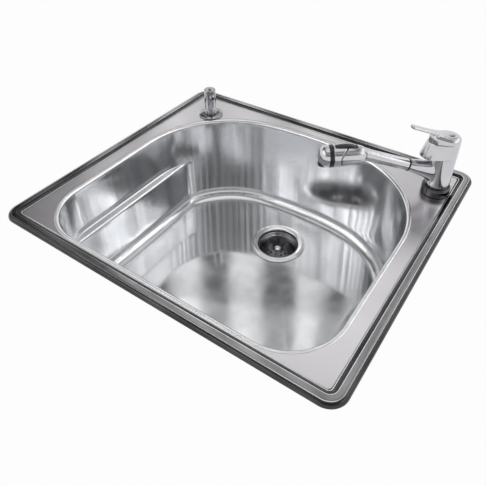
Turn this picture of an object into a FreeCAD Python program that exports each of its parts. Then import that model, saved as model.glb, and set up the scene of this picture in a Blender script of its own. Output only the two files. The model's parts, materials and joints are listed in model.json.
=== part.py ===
# Single bowl kitchen sink with a pull-out spray mixer, a soap pump and a basket strainer.
# Millimetres. The origin is at the plan centre of the sink on the worktop plane, +Z up, -Y to the front.
import FreeCAD
import Part
import math
import os
import re
import Sketcher

Vector = FreeCAD.Vector

SIZES = [
    # Fits
    ("run_gap", 0.06),
    ("seat_gap", 0.3),
    ("thread_gap", 0.05),
    # Pressed deck and its raised rim
    ("sink_width", 635),
    ("sink_depth", 559),
    ("corner_radius", 28),
    ("sheet_gauge", 1.2),
    ("deck_top", 3),
    ("rim_top", 6),
    ("rim_band", 20),
    ("rim_roll", 4.5),
    ("step_round", 1.4),
    # Bowl mouth: straight front and sides, round back corners, bowed back
    ("side_deck", 53.5),
    ("front_deck", 32.5),
    ("back_deck", 47.5),
    ("front_corner_radius", 88),
    ("back_corner_radius", 190),
    ("back_bow_radius", 700),
    ("mouth_roll", 6),
    ("seam_offset", 8),
    # Bowl walls, ledge and floor
    ("bowl_depth", 203),
    ("ledge_depth", 92),
    ("ledge_width", 18),
    ("wall_draft", 1.5),
    ("floor_round", 25),
    ("pad_width", 260),
    ("pad_depth", 170),
    ("pad_thickness", 4),
    ("pad_clear", 90),
    ("pad_corner", 20),
    # Clamping rails and clips under the rim
    ("rail_inset", 13),
    ("rail_width", 10),
    ("rail_height", 12),
    ("rail_slot", 5),
    ("rail_front_length", 460),
    ("rail_side_length", 400),
    ("clip_spacing_front", 300),
    ("clip_spacing_side", 260),
    ("clip_width", 16),
    ("clip_drop", 46),
    ("clip_reach", 15),
    ("clip_screw_reach", 8),
    ("clip_plate", 3),
    ("clip_screw_radius", 2.5),
    ("clip_screw_length", 26),
    ("clip_foot_radius", 3.5),
    # Drain
    ("drain_offset", 2),
    ("drain_setback", 122),
    ("drain_hole_radius", 44.5),
    ("flange_radius", 57),
    ("flange_thickness", 2),
    ("flange_slope", 4),
    ("seal_thickness", 0.8),
    ("cup_radius", 44),
    ("cup_wall", 1.5),
    ("cup_depth", 58),
    ("outlet_radius", 24),
    ("outlet_bore", 19),
    ("outlet_length", 22),
    ("washer_radius", 56),
    ("rubber_thickness", 3),
    ("card_thickness", 1),
    ("lock_nut_radius", 52),
    ("lock_nut_height", 10),
    ("lock_lug_reach", 4),
    ("lock_lug_width", 10),
    ("lock_lug_count", 6),
    ("tail_radius", 19.05),
    ("tail_wall", 1.3),
    ("tail_length", 100),
    ("tail_neck_depth", 0.3),
    ("tail_neck_clear", 1),
    ("tail_flange_radius", 22.5),
    ("tail_flange_thickness", 1.5),
    ("tail_washer_thickness", 2),
    ("coupling_radius", 29),
    ("coupling_lip", 3),
    # Basket
    ("basket_gap", 0.5),
    ("basket_rim", 3),
    ("basket_height", 30),
    ("basket_base_radius", 31),
    ("basket_gauge", 1),
    ("stopper_radius", 27),
    ("stopper_thickness", 7),
    ("stopper_web", 2.4),
    ("post_radius", 3.2),
    ("post_length", 30),
    ("knob_radius", 7),
    ("knob_height", 8),
    ("outer_hole_ring", 25),
    ("outer_hole_count", 14),
    ("inner_hole_ring", 16),
    ("inner_hole_count", 8),
    ("basket_hole_radius", 2.6),
    # Mixer: column, neck and fixings
    ("tap_inset", 48.5),
    ("tap_setback", 83.5),
    ("tap_hole_radius", 17.5),
    ("spout_heading", 217.5),
    ("gasket_thickness", 1),
    ("base_radius", 24.5),
    ("base_height", 14),
    ("base_round", 3),
    ("core_radius", 15),
    ("core_bore", 12.5),
    ("core_drop", 58),
    ("column_radius", 21),
    ("column_foot_radius", 19.5),
    ("column_foot_height", 6),
    ("column_top", 78),
    ("spout_level", 41),
    ("spout_rise", 17.5),
    ("neck_start", 10),
    ("neck_root_radius", 18.5),
    ("neck_end_radius", 10.5),
    ("neck_length", 60.8),
    ("hose_window_width", 15),
    ("hose_window_low", 33),
    ("hose_window_high", 52),
    ("tap_washer_radius", 26),
    ("tap_nut_radius", 23),
    ("tap_nut_height", 12),
    ("inlet_block_height", 15),
    ("inlet_radius", 4),
    ("inlet_x", -5),
    ("inlet_y", 6),
    ("hose_hole_radius", 5.5),
    ("hose_hole_x", 6),
    # Cartridge and handle
    ("cartridge_seat", 56),
    ("cartridge_shelf", 2),
    ("cartridge_height", 15),
    ("stem_radius", 5),
    ("stem_depth", 8),
    ("dome_roof", 107),
    ("dome_rear_radius", 22),
    ("dome_front_radius", 20),
    ("dome_front_x", 22),
    ("dome_top_rear_radius", 21),
    ("dome_top_front_radius", 17),
    ("dome_top_front_x", 16),
    ("dome_wall", 3.5),
    ("stem_grip", 5),
    ("hinge_x", -15),
    ("hinge_rise", 4.1),
    ("knuckle_radius", 3.8),
    ("lever_pin_radius", 2),
    ("lever_pin_length", 22),
    ("ear_width", 8),
    ("ear_half_length", 3.5),
    ("ear_slot_gap", 2.6),
    ("cap_inset", 1.2),
    ("cap_front_x", 30),
    ("lever_top_x", 5),
    ("lever_top_z", 117),
    ("lever_back_x", -3),
    ("lever_back_round", 24),
    ("lever_rise", 18),
    ("lever_thickness", 5),
    ("lever_tip_x", 68),
    ("lever_half_width", 6.5),
    # Pull-out wand and spray head
    ("dock_thickness", 2.5),
    ("dock_radius", 11),
    ("wand_radius", 10.3),
    ("wand_length", 78),
    ("spigot_radius", 8),
    ("spigot_bore", 6),
    ("spigot_guide_length", 43),
    ("spigot_grip_length", 20),
    ("head_bend", 18),
    ("head_bore", 8.05),
    ("head_bore_length", 12),
    ("head_wall", 2.2),
    ("head_parting", 38),
    ("head_shoulder", 12),
    ("head_shoulder_radius", 16.6),
    ("head_parting_radius", 18),
    ("head_front_end", 55.5),
    ("head_front_radius", 19),
    ("band_width", 7),
    ("band_radius", 19.4),
    ("tip_length", 17.5),
    ("tip_straight", 4.5),
    ("tip_round", 14),
    ("tip_nose_radius", 8),
    ("tip_channel_radius", 5),
    ("diverter_start", 2),
    ("diverter_collar", 2),
    ("face_radius", 8.2),
    ("face_station", 8.8),
    ("face_thickness", 5),
    ("face_level", 16.6),
    ("face_flat", 15.6),
    ("face_hole_ring", 5.5),
    ("face_hole_count", 12),
    ("face_hole_radius", 0.6),
    ("rocker_start", 16),
    ("rocker_end", 52),
    ("rocker_pivot", 34),
    ("rocker_width", 10),
    ("rocker_base", 12.6),
    ("rocker_rear_height", 17),
    ("rocker_front_height", 18.6),
    ("rocker_crown", 52),
    ("rocker_pin_level", 14),
    ("rocker_pin_radius", 1.2),
    ("rocker_pin_length", 13),
    ("rocker_side_gap", 0.4),
    ("rocker_end_gap", 0.8),
    # Soap pump
    ("pump_inset", 86.5),
    ("pump_setback", 85.5),
    ("pump_heading", -40),
    ("pump_hole_radius", 16),
    ("rosette_radius", 26),
    ("rosette_height", 5),
    ("rosette_edge", 1.5),
    ("neck_radius", 9.5),
    ("pump_neck_top", 30),
    ("pump_shank_radius", 14),
    ("pump_shank_drop", 46),
    ("barrel_radius", 8),
    ("barrel_bore", 6),
    ("barrel_drop", 60),
    ("barrel_cap", 1.5),
    ("pump_nut_radius", 21),
    ("pump_nut_height", 9),
    ("pump_washer_radius", 22),
    ("pump_washer_thickness", 2),
    ("head_radius", 12.3),
    ("head_bottom", 15),
    ("head_top", 61),
    ("head_inner_radius", 10),
    ("head_roof", 40),
    ("head_edge_round", 2),
    ("nozzle_level", 51),
    ("nozzle_radius", 4.5),
    ("nozzle_bore", 2.5),
    ("nozzle_reach", 27),
    ("stem_rod_radius", 3.5),
    ("stem_rod_bore", 1.6),
    ("stem_rod_grip", 8),
    ("piston_height", 5),
    ("piston_level", 5),
    ("spring_radius", 5.6),
    ("spring_wire", 0.6),
    ("spring_turns", 10),
    ("dip_tube_radius", 3),
    ("dip_tube_bore", 2),
    ("dip_tube_length", 90),
    ("bottle_radius", 24),
    ("bottle_height", 120),
    ("bottle_wall", 1.5),
    ("bottle_neck_height", 16),
    ("bottle_shoulder", 14),
]


doc = FreeCAD.newDocument("kitchen_sink")
sheet = doc.addObject("Spreadsheet::Sheet", "sizes")
for row, (alias, number) in enumerate(SIZES, start=1):
    sheet.set(f"A{row}", alias)
    sheet.set(f"B{row}", str(number))
    sheet.setAlias(f"B{row}", alias)
doc.recompute()
ALIASES = {alias for alias, number in SIZES}
nodes = []


def bound(text):
    """The expression with each size name pointed at its cell of the sheet."""
    def point(match):
        word = match.group()
        return "sizes." + word if word in ALIASES else word
    return re.sub(r"[a-z][a-z_0-9]*", point, str(text))


def size(text):
    """The number that an expression of size names comes to."""
    return float(sheet.evalExpression(bound(text)))


def bind(thing, **properties):
    """Tie properties of an object to expressions of size names."""
    for name, text in properties.items():
        thing.setExpression(name.replace("__", "."), bound(text))


def node(thing, label, placement=None):
    """Name a finished piece, set it in its place and list it for writing."""
    thing.Label = label
    if placement is not None:
        thing.Placement = placement
    nodes.append(thing)


# Sketches

def new_body(label):
    body = doc.addObject("PartDesign::Body", label)
    body.Label = label
    return body


def new_sketch(body, plane, lift="0"):
    """An empty sketch on one of the body's own planes, lifted along the plane's normal."""
    support = next(item for item in body.Origin.OriginFeatures if item.Role == plane)
    sketch = body.newObject("Sketcher::SketchObject", body.Name + "_sketch")
    sketch.AttachmentSupport = (support, [""])
    sketch.MapMode = "FlatFace"
    bind(sketch, AttachmentOffset__Base__z=lift)
    return sketch


def arc_between(start, end, radius):
    """The arc under a half circle from start to end: counter-clockwise for a positive radius."""
    chord = end - start
    side = Vector(-chord.y, chord.x, 0).normalize() * math.copysign(1, radius)
    rise = math.sqrt(max(radius ** 2 - chord.Length ** 2 / 4, 0))
    centre = (start + end) * 0.5 + side * rise
    first, last = (start, end) if radius > 0 else (end, start)
    low = math.atan2(first.y - centre.y, first.x - centre.x)
    high = math.atan2(last.y - centre.y, last.x - centre.x)
    if high < low:
        high += 2 * math.pi
    return Part.ArcOfCircle(Part.Circle(centre, Vector(0, 0, 1), abs(radius)), low, high)


def draw_outline(sketch, corners):
    """A closed outline. A corner is (across, up) or (across, up, radius of the arc that reaches it)."""
    points = [Vector(size(corner[0]), size(corner[1]), 0) for corner in corners]
    count = len(corners)
    ends = []
    for number in range(count):
        after = (number + 1) % count
        if len(corners[after]) == 3:
            radius = size(corners[after][2])
            edge = sketch.addGeometry(arc_between(points[number], points[after], radius))
            rule = sketch.addConstraint(Sketcher.Constraint("Radius", edge, abs(radius)))
            sketch.setExpression(f"Constraints[{rule}]", bound(f"abs({corners[after][2]})"))
            ends.append((edge, 1, 2) if radius > 0 else (edge, 2, 1))
        else:
            edge = sketch.addGeometry(Part.LineSegment(points[number], points[after]))
            ends.append((edge, 1, 2))
    for number in range(count):
        edge, first, last = ends[number]
        next_edge, next_first = ends[(number + 1) % count][:2]
        sketch.addConstraint(Sketcher.Constraint("Coincident", edge, last, next_edge, next_first))
        for kind, place, text in (("DistanceX", points[number].x, corners[number][0]),
                                  ("DistanceY", points[number].y, corners[number][1])):
            rule = sketch.addConstraint(Sketcher.Constraint(kind, -1, 1, edge, first, place))
            sketch.setExpression(f"Constraints[{rule}]", bound(text))


# Features

def pad(body, corners, low, height, taper=None, down=False, plane="XY_Plane"):
    """Raise an outline of the body's plane by height from the level low, or sink it when down."""
    sketch = new_sketch(body, plane, low)
    draw_outline(sketch, corners)
    feature = body.newObject("PartDesign::Pad", body.Name + "_pad")
    feature.Profile = sketch
    feature.Reversed = down
    bind(feature, Length=height)
    if taper:
        bind(feature, TaperAngle=taper)
    doc.recompute()


def pocket(body, corners, low, height):
    """Cut an outline of the body's XY plane upwards by height from the level low."""
    before = body.Shape.Volume
    sketch = new_sketch(body, "XY_Plane", low)
    draw_outline(sketch, corners)
    feature = body.newObject("PartDesign::Pocket", body.Name + "_pocket")
    feature.Profile = sketch
    feature.Reversed = True
    bind(feature, Length=height)
    doc.recompute()
    if body.Shape.Volume >= before:
        raise RuntimeError(f"{feature.Label} cut nothing")


def loft(body, low_corners, low, high_corners, high):
    """A straight loft between two outlines at two levels."""
    sketches = []
    for corners, level in ((low_corners, low), (high_corners, high)):
        sketch = new_sketch(body, "XY_Plane", level)
        draw_outline(sketch, corners)
        sketches.append(sketch)
    feature = body.newObject("PartDesign::AdditiveLoft", body.Name + "_loft")
    feature.Profile = sketches[0]
    feature.Sections = sketches[1:]
    feature.Ruled = True
    doc.recompute()


def turned(label, corners):
    """A body turned about its Z axis from an outline of (radius, level) corners."""
    body = new_body(label)
    sketch = new_sketch(body, "XZ_Plane")
    draw_outline(sketch, corners)
    feature = body.newObject("PartDesign::Revolution", label + "_turn")
    feature.Profile = sketch
    feature.ReferenceAxis = (sketch, ["V_Axis"])
    feature.Angle = 360
    doc.recompute()
    return body


def ring(label, inner, outer, low, high):
    """A plain turned ring or tube."""
    return turned(label, [(inner, low), (outer, low), (outer, high), (inner, high)])


def soften(body, radius, test):
    """Round the edges of the body so far that pass the test."""
    before = body.Tip
    names = [f"Edge{number}" for number, edge in enumerate(before.Shape.Edges, start=1) if test(edge)]
    feature = body.newObject("PartDesign::Fillet", body.Name + "_round")
    feature.Base = (before, names)
    bind(feature, Radius=radius)
    doc.recompute()


FLAT_WITHIN = 0.01


def at_level(text):
    """A test for edges that lie flat at a level."""
    level = size(text)

    def test(edge):
        extent = edge.BoundBox
        return max(abs(extent.ZMin - level), abs(extent.ZMax - level)) < FLAT_WITHIN

    return test


def box(label, length, width, height, x="0", y="0", z="0"):
    """A box centred on x and y, standing on z."""
    thing = doc.addObject("Part::Box", label)
    bind(thing, Length=length, Width=width, Height=height)
    bind(thing, Placement__Base__x=f"{x} - ({length}) / 2", Placement__Base__y=f"{y} - ({width}) / 2")
    bind(thing, Placement__Base__z=z)
    return thing


TURNS = {"Z": FreeCAD.Rotation(), "X": FreeCAD.Rotation(Vector(0, 1, 0), 90),
         "Y": FreeCAD.Rotation(Vector(1, 0, 0), -90)}


def rod(label, radius, length, x="0", y="0", z="0", along="Z"):
    """A round bar that starts at x, y, z and runs along one axis."""
    thing = doc.addObject("Part::Cylinder", label)
    thing.Placement = FreeCAD.Placement(Vector(), TURNS[along])
    bind(thing, Radius=radius, Height=length)
    bind(thing, Placement__Base__x=x, Placement__Base__y=y, Placement__Base__z=z)
    return thing


def joined(label, pieces):
    thing = doc.addObject("Part::MultiFuse", label)
    thing.Shapes = pieces
    return thing


def cut(label, base, tools):
    """The base with every tool taken away."""
    thing = doc.addObject("Part::Cut", label)
    thing.Base = base
    thing.Tool = tools[0] if len(tools) == 1 else joined(label + "_tools", tools)
    doc.recompute()
    if thing.Shape.Volume >= base.Shape.Volume:
        raise RuntimeError(f"{label} cut nothing")
    return thing


def group(label, pieces):
    """Separate solids that share one node."""
    thing = doc.addObject("Part::Compound", label)
    thing.Links = pieces
    return thing


def around(count, ring_radius):
    """Places spaced evenly on a circle, as expressions."""
    total = round(size(count))
    for number in range(total):
        angle = f"{360 * number / total} * 1deg"
        yield f"{ring_radius} * cos({angle})", f"{ring_radius} * sin({angle})"


def rounded_rectangle(half_width, half_depth, radius, y="0"):
    """Corners of a rectangle with round corners, centred on the Y axis at y."""
    return [
        (f"-({half_width}) + {radius}", f"{y} - ({half_depth})", radius),
        (f"({half_width}) - {radius}", f"{y} - ({half_depth})"),
        (half_width, f"{y} - ({half_depth}) + {radius}", radius),
        (half_width, f"{y} + ({half_depth}) - {radius}"),
        (f"({half_width}) - {radius}", f"{y} + ({half_depth})", radius),
        (f"-({half_width}) + {radius}", f"{y} + ({half_depth})"),
        (f"-({half_width})", f"{y} + ({half_depth}) - {radius}", radius),
        (f"-({half_width})", f"{y} - ({half_depth}) + {radius}"),
    ]


def oval(rear_radius, front_radius, front_x):
    """A rounded oval: a rear arc about the origin and a front arc about front_x, with straight sides."""
    lean = f"asin(({rear_radius} - ({front_radius})) / {front_x})"
    rear_x = f"({rear_radius}) * sin({lean})"
    rear_y = f"({rear_radius}) * cos({lean})"
    nose_x = f"{front_x} + ({front_radius}) * sin({lean})"
    nose_y = f"({front_radius}) * cos({lean})"
    return [
        (rear_x, f"-{rear_y}", rear_radius),
        (nose_x, f"-{nose_y}"),
        (f"{front_x} + {front_radius}", "0", front_radius),
        (nose_x, nose_y, front_radius),
        (rear_x, rear_y),
        (f"-({rear_radius})", "0", rear_radius),
    ]


# Sink pressing

MOUTH_SIDE = "(sink_width / 2 - side_deck)"
MOUTH_FRONT = "(sink_depth / 2 - front_deck)"
MOUTH_BACK = "(sink_depth / 2 - back_deck)"
LEDGE_SIDE = f"({MOUTH_SIDE} - ledge_width)"
CORNER_X = f"({MOUTH_SIDE} - back_corner_radius)"
BOW_SPAN = "(back_bow_radius - back_corner_radius)"
BOW_REACH = f"sqrt({BOW_SPAN}^2 - {CORNER_X}^2)"
BACK_CENTRE = f"({MOUTH_BACK} - back_bow_radius + {BOW_REACH})"
FLOOR = "(deck_top - bowl_depth)"
DRAIN_Y = f"({MOUTH_BACK} - drain_setback)"
TAP_X = "(sink_width / 2 - tap_inset)"
TAP_Y = "(sink_depth / 2 - tap_setback)"
PUMP_X = "(pump_inset - sink_width / 2)"
PUMP_Y = "(sink_depth / 2 - pump_setback)"


def bowl_outline(grow, side, front_end, back_end):
    """The bowl's outline grown outwards, with its sides at side from front_end to back_end."""
    across = f"(back_bow_radius + {grow}) * {CORNER_X} / {BOW_SPAN}"
    up = f"{MOUTH_BACK} - back_bow_radius + (back_bow_radius + {grow}) * {BOW_REACH} / {BOW_SPAN}"
    front = f"-{MOUTH_FRONT} - ({grow})"
    front_radius = f"front_corner_radius + {grow}"
    back_radius = f"back_corner_radius + {grow}"
    return [
        (f"-({MOUTH_SIDE} - front_corner_radius)", front, front_radius),
        (f"{MOUTH_SIDE} - front_corner_radius", front),
        (side, front_end, front_radius),
        (side, back_end),
        (across, up, back_radius),
        (f"-({across})", up, f"back_bow_radius + {grow}"),
        (f"-({side})", back_end, back_radius),
        (f"-({side})", front_end),
    ]


def mouth_outline(grow):
    """The full outline of the bowl, grown outwards from the mouth line."""
    side = f"{MOUTH_SIDE} + {grow}"
    return bowl_outline(grow, side, f"-{MOUTH_FRONT} + front_corner_radius", BACK_CENTRE)


def lower_outline(grow, side):
    """The outline below the ledge: the full outline cut off by flat sides."""
    front_run = f"({side}) - {MOUTH_SIDE} + front_corner_radius"
    front_drop = f"sqrt((front_corner_radius + {grow})^2 - ({front_run})^2)"
    front_end = f"-{MOUTH_FRONT} + front_corner_radius - {front_drop}"
    back_run = f"({side}) - {CORNER_X}"
    back_end = f"{BACK_CENTRE} + sqrt((back_corner_radius + {grow})^2 - ({back_run})^2)"
    return bowl_outline(grow, side, front_end, back_end)


def bowl_form(label, grow):
    """The bowl's inner form grown by a wall: upper part down to the ledge, lower part, rounded floor."""
    body = new_body(label)
    upper_depth = f"(ledge_depth + {grow})"
    shrunk = f"({grow} - {upper_depth} * tan(wall_draft * 1deg))"
    pad(body, mouth_outline(grow), "deck_top", upper_depth, "-wall_draft", down=True)
    lower = lower_outline(shrunk, f"{LEDGE_SIDE} + {grow}")
    pad(body, lower, f"deck_top - {upper_depth}", "bowl_depth - ledge_depth", "-wall_draft", down=True)
    soften(body, f"floor_round + {grow}", at_level(f"{FLOOR} - {grow}"))
    return body


def make_sink_bowl():
    """The drawn bowl: a skin of one sheet's gauge with a rolled mouth and a hole for the drain."""
    cavity = bowl_form("bowl_cavity", "0")
    drain_hole = rod("bowl_drain_hole", "drain_hole_radius", "3 * sheet_gauge", "drain_offset", DRAIN_Y,
                     f"{FLOOR} - 2 * sheet_gauge")
    hollow = joined("bowl_hollow", [cavity, drain_hole])
    skin = bowl_form("bowl_skin", "sheet_gauge")
    pad(skin, mouth_outline("seam_offset"), "deck_top - sheet_gauge", "sheet_gauge")
    under = at_level("deck_top - sheet_gauge")
    soften(skin, "mouth_roll - sheet_gauge", lambda edge: under(edge) and is_inner_edge(edge))
    shell = cut("bowl_shell", skin, [hollow])
    rolled = doc.addObject("Part::Fillet", "sink_bowl")
    rolled.Base = shell
    top = at_level("deck_top")
    roll = size("mouth_roll")
    rolled.Edges = [(number, roll, roll) for number, edge in enumerate(shell.Shape.Edges, start=1)
                    if top(edge) and is_inner_edge(edge)]
    doc.recompute()
    node(rolled, "sink_bowl")


def is_inner_edge(edge):
    """True for an edge of a bowl outline that lies nearer to the mouth line than to the weld seam."""
    middle = edge.valueAt((edge.FirstParameter + edge.LastParameter) / 2)
    probe = Part.Vertex(Vector(middle.x, middle.y, 0))
    return probe.distToShape(MOUTH_LINE)[0] < size("(sheet_gauge + seam_offset) / 2")


def mouth_line():
    """The mouth outline as a wire on the worktop plane."""
    body = new_body("mouth_line")
    sketch = new_sketch(body, "XY_Plane")
    draw_outline(sketch, mouth_outline("0"))
    doc.recompute()
    return sketch.Shape


def make_sink_deck():
    """The pressed deck: a raised rim band with a rolled edge, a flat deck, and holes for the fittings."""
    body = new_body("deck_pressing")
    half_width = "sink_width / 2"
    half_depth = "sink_depth / 2"

    def inset(amount):
        return rounded_rectangle(f"{half_width} - {amount}", f"{half_depth} - {amount}",
                                 f"(corner_radius - {amount})")

    pad(body, inset("0"), "0", "rim_top")
    pocket(body, inset("rim_band"), "deck_top", "rim_top - deck_top")
    top = at_level("rim_top")
    outer = size("sink_width / 2 - rim_band / 2")
    deep = size("sink_depth / 2 - rim_band / 2")

    def outside(edge):
        extent = edge.BoundBox
        beside = max(abs(extent.XMin), abs(extent.XMax)) > outer
        return beside or max(abs(extent.YMin), abs(extent.YMax)) > deep

    soften(body, "rim_roll", lambda edge: top(edge) and outside(edge))
    soften(body, "step_round", lambda edge: top(edge) and not outside(edge))
    hollow = new_body("deck_hollow")
    pad(hollow, inset("sheet_gauge"), "0", "deck_top - sheet_gauge")
    under_band = new_body("band_hollow")
    pad(under_band, inset("sheet_gauge"), "0", "rim_top - sheet_gauge")
    low_top = at_level("rim_top - sheet_gauge")
    soften(under_band, "rim_roll - sheet_gauge", low_top)
    pocket(under_band, inset("(rim_band - sheet_gauge)"), "0", "rim_top")
    mouth = new_body("deck_mouth")
    pad(mouth, mouth_outline("seam_offset"), "0", "rim_top")
    tap_hole = rod("deck_tap_hole", "tap_hole_radius", "rim_top", TAP_X, TAP_Y)
    pump_hole = rod("deck_pump_hole", "pump_hole_radius", "rim_top", PUMP_X, PUMP_Y)
    node(cut("sink_deck", body, [hollow, under_band, mouth, tap_hole, pump_hole]), "sink_deck")


def make_sound_pad():
    """The rubber pad stuck under the bowl's floor in front of the drain."""
    body = new_body("pad_blank")
    middle = f"{DRAIN_Y} - pad_clear - pad_depth / 2"
    outline = rounded_rectangle("pad_width / 2", "pad_depth / 2", "pad_corner", middle)
    pad(body, outline, f"{FLOOR} - sheet_gauge", "pad_thickness", down=True)
    node(body, "sound_pad")


# Clamping rails and clips

RAIL_TOP = "(rim_top - sheet_gauge)"
SIDES = [
    ("front", 0, "sink_depth / 2 - rail_inset", "rail_front_length", "clip_spacing_front"),
    ("right", 90, "sink_width / 2 - rail_inset", "rail_side_length", "clip_spacing_side"),
    ("back", 180, "sink_depth / 2 - rail_inset", "rail_front_length", "clip_spacing_front"),
    ("left", 270, "sink_width / 2 - rail_inset", "rail_side_length", "clip_spacing_side"),
]


def side_place(turn):
    """The turn about Z that carries a piece of the front edge to another side."""
    return FreeCAD.Placement(Vector(), FreeCAD.Rotation(Vector(0, 0, 1), turn))


def make_fixings():
    """Channel rails under the rim, with hook clips hung in them and the screws that clamp the worktop."""
    rails = []
    clips = []
    screws = []
    for name, turn, reach, length, spacing in SIDES:
        middle = f"-({reach})"
        low = f"{RAIL_TOP} - rail_height"
        blank = box(f"{name}_rail_blank", length, "rail_width", "rail_height", "0", middle, low)
        channel = box(f"{name}_rail_channel", length, "rail_width - 2 * sheet_gauge",
                      "rail_height - 2 * sheet_gauge", "0", middle, f"{low} + sheet_gauge")
        slot = box(f"{name}_rail_slot", length, "rail_slot", "2 * sheet_gauge", "0", middle,
                   f"{low} - sheet_gauge")
        rail = cut(f"{name}_rail", blank, [channel, slot])
        rail.Placement = side_place(turn)
        rails.append(rail)
        for hand, sign in (("first", "-"), ("second", "")):
            along = f"{sign}({spacing}) / 2"
            key = f"{name}_{hand}"
            head_level = f"{low} + sheet_gauge + seat_gap"
            foot_level = f"{low} - clip_drop"
            plate = "(rail_slot - 2 * seat_gap)"
            head = box(f"{key}_head", "clip_width", "rail_width - 2 * sheet_gauge - 2 * seat_gap",
                       "clip_plate", along, middle, head_level)
            stem = box(f"{key}_stem", "clip_width", plate, "clip_drop + sheet_gauge + seat_gap + clip_plate",
                       along, middle, foot_level)
            arm = box(f"{key}_arm", "clip_width", "clip_reach", "clip_plate", along,
                      f"{middle} - clip_reach / 2 + {plate} / 2", foot_level)
            screw_y = f"{middle} - clip_screw_reach"
            hole = rod(f"{key}_hole", "clip_screw_radius + thread_gap", "2 * clip_plate", along, screw_y,
                       f"{foot_level} - clip_plate / 2")
            clip = cut(f"{key}_clip", joined(f"{key}_hook", [head, stem, arm]), [hole])
            clip.Placement = side_place(turn)
            clips.append(clip)
            screw_low = f"{foot_level} + clip_plate / 2 - clip_screw_length / 2"
            shank = rod(f"{key}_shank", "clip_screw_radius", "clip_screw_length", along, screw_y, screw_low)
            foot = rod(f"{key}_foot", "clip_foot_radius", "clip_plate", along, screw_y,
                       f"{screw_low} + clip_screw_length")
            screw = joined(f"{key}_screw", [shank, foot])
            screw.Placement = side_place(turn)
            screws.append(screw)
    node(group("rail_set", rails), "fixing_rails")
    node(group("clip_set", clips), "clip_hooks")
    node(group("screw_set", screws), "clip_screws")


# Drain: levels are measured from the bowl's floor

FLANGE_LOW = "seal_thickness"
FLANGE_TOP = "(seal_thickness + flange_thickness)"
CUP_FLOOR = "-(cup_depth - cup_wall)"
UNDER_FLOOR = "-sheet_gauge"
CARD_TOP = "(-sheet_gauge - rubber_thickness)"
NUT_TOP = "(-sheet_gauge - rubber_thickness - card_thickness)"
OUTLET_END = "(-cup_depth - outlet_length)"
TAIL_TOP = f"({OUTLET_END} - tail_washer_thickness)"


def drain_place():
    return FreeCAD.Placement(Vector(size("drain_offset"), size(DRAIN_Y), size(FLOOR)), FreeCAD.Rotation())


def make_strainer():
    """The strainer cup clamped through the floor, and the tailpiece hung from its outlet."""
    place = drain_place()
    inner = "(cup_radius - cup_wall)"
    lip = f"({inner} + flange_slope)"
    cup = turned("cup_turning", [
        ("outlet_bore", OUTLET_END),
        ("outlet_radius", OUTLET_END),
        ("outlet_radius", "-cup_depth"),
        ("cup_radius", "-cup_depth"),
        ("cup_radius", FLANGE_LOW),
        ("flange_radius", FLANGE_LOW),
        ("flange_radius - flange_thickness", FLANGE_TOP, "flange_thickness"),
        (lip, FLANGE_TOP),
        (inner, f"{FLANGE_TOP} - flange_slope", "flange_slope"),
        (inner, CUP_FLOOR),
        ("outlet_bore", CUP_FLOOR),
    ])
    node(cup, "strainer_cup", place)
    node(ring("seal_ring", "drain_hole_radius", "flange_radius - flange_thickness", "0", "seal_thickness"),
         "flange_seal", place)
    thread = "cup_radius + thread_gap"
    node(ring("rubber_ring", thread, "washer_radius", CARD_TOP, UNDER_FLOOR), "rubber_washer", place)
    node(ring("card_ring", thread, "washer_radius", NUT_TOP, CARD_TOP), "friction_washer", place)
    low = f"{NUT_TOP} - lock_nut_height"
    nut = ring("nut_ring", thread, "lock_nut_radius", low, NUT_TOP)
    lug_reach = "(lock_nut_radius + lock_lug_reach)"
    lug = box("nut_lug", lug_reach, "lock_lug_width", "lock_nut_height", f"{lug_reach} / 2", "0", low)
    lugs = []
    total = round(size("lock_lug_count"))
    for number in range(total):
        copy = group("nut_lug_turned", [lug])
        turn = FreeCAD.Rotation(Vector(0, 0, 1), 360 * number / total)
        copy.Placement = FreeCAD.Placement(Vector(), turn)
        lugs.append(copy)
    bore = rod("nut_bore", thread, "lock_nut_height", "0", "0", low)
    node(cut("lock_nut", joined("nut_star", [nut] + lugs), [bore]), "strainer_lock_nut", place)
    node(ring("tail_washer_ring", "tail_radius - tail_wall", "tail_flange_radius", TAIL_TOP, OUTLET_END),
         "tailpiece_washer", place)
    flange_low = f"({TAIL_TOP} - tail_flange_thickness)"
    lip_low = f"{flange_low} - coupling_lip"
    neck_low = f"{lip_low} - tail_neck_clear"
    tail = turned("tail_turning", [
        ("tail_radius - tail_wall", f"{TAIL_TOP} - tail_length"),
        ("tail_radius", f"{TAIL_TOP} - tail_length"),
        ("tail_radius", neck_low),
        ("tail_radius - tail_neck_depth", neck_low),
        ("tail_radius - tail_neck_depth", flange_low),
        ("tail_flange_radius", flange_low),
        ("tail_flange_radius", TAIL_TOP),
        ("tail_radius - tail_wall", TAIL_TOP),
    ])
    node(tail, "tailpiece", place)
    nut_bore = "outlet_radius + thread_gap"
    coupling = turned("coupling_turning", [
        ("tail_radius + thread_gap", lip_low),
        ("coupling_radius", lip_low),
        ("coupling_radius", "-cup_depth - seat_gap"),
        (nut_bore, "-cup_depth - seat_gap"),
        (nut_bore, flange_low),
        ("tail_radius + thread_gap", flange_low),
    ])
    node(coupling, "coupling_nut", place)


STOPPER_LOW = f"({CUP_FLOOR} + seat_gap)"
WEB_TOP = f"({STOPPER_LOW} + stopper_web)"
BASKET_LOW = f"({STOPPER_LOW} + stopper_thickness)"


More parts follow.
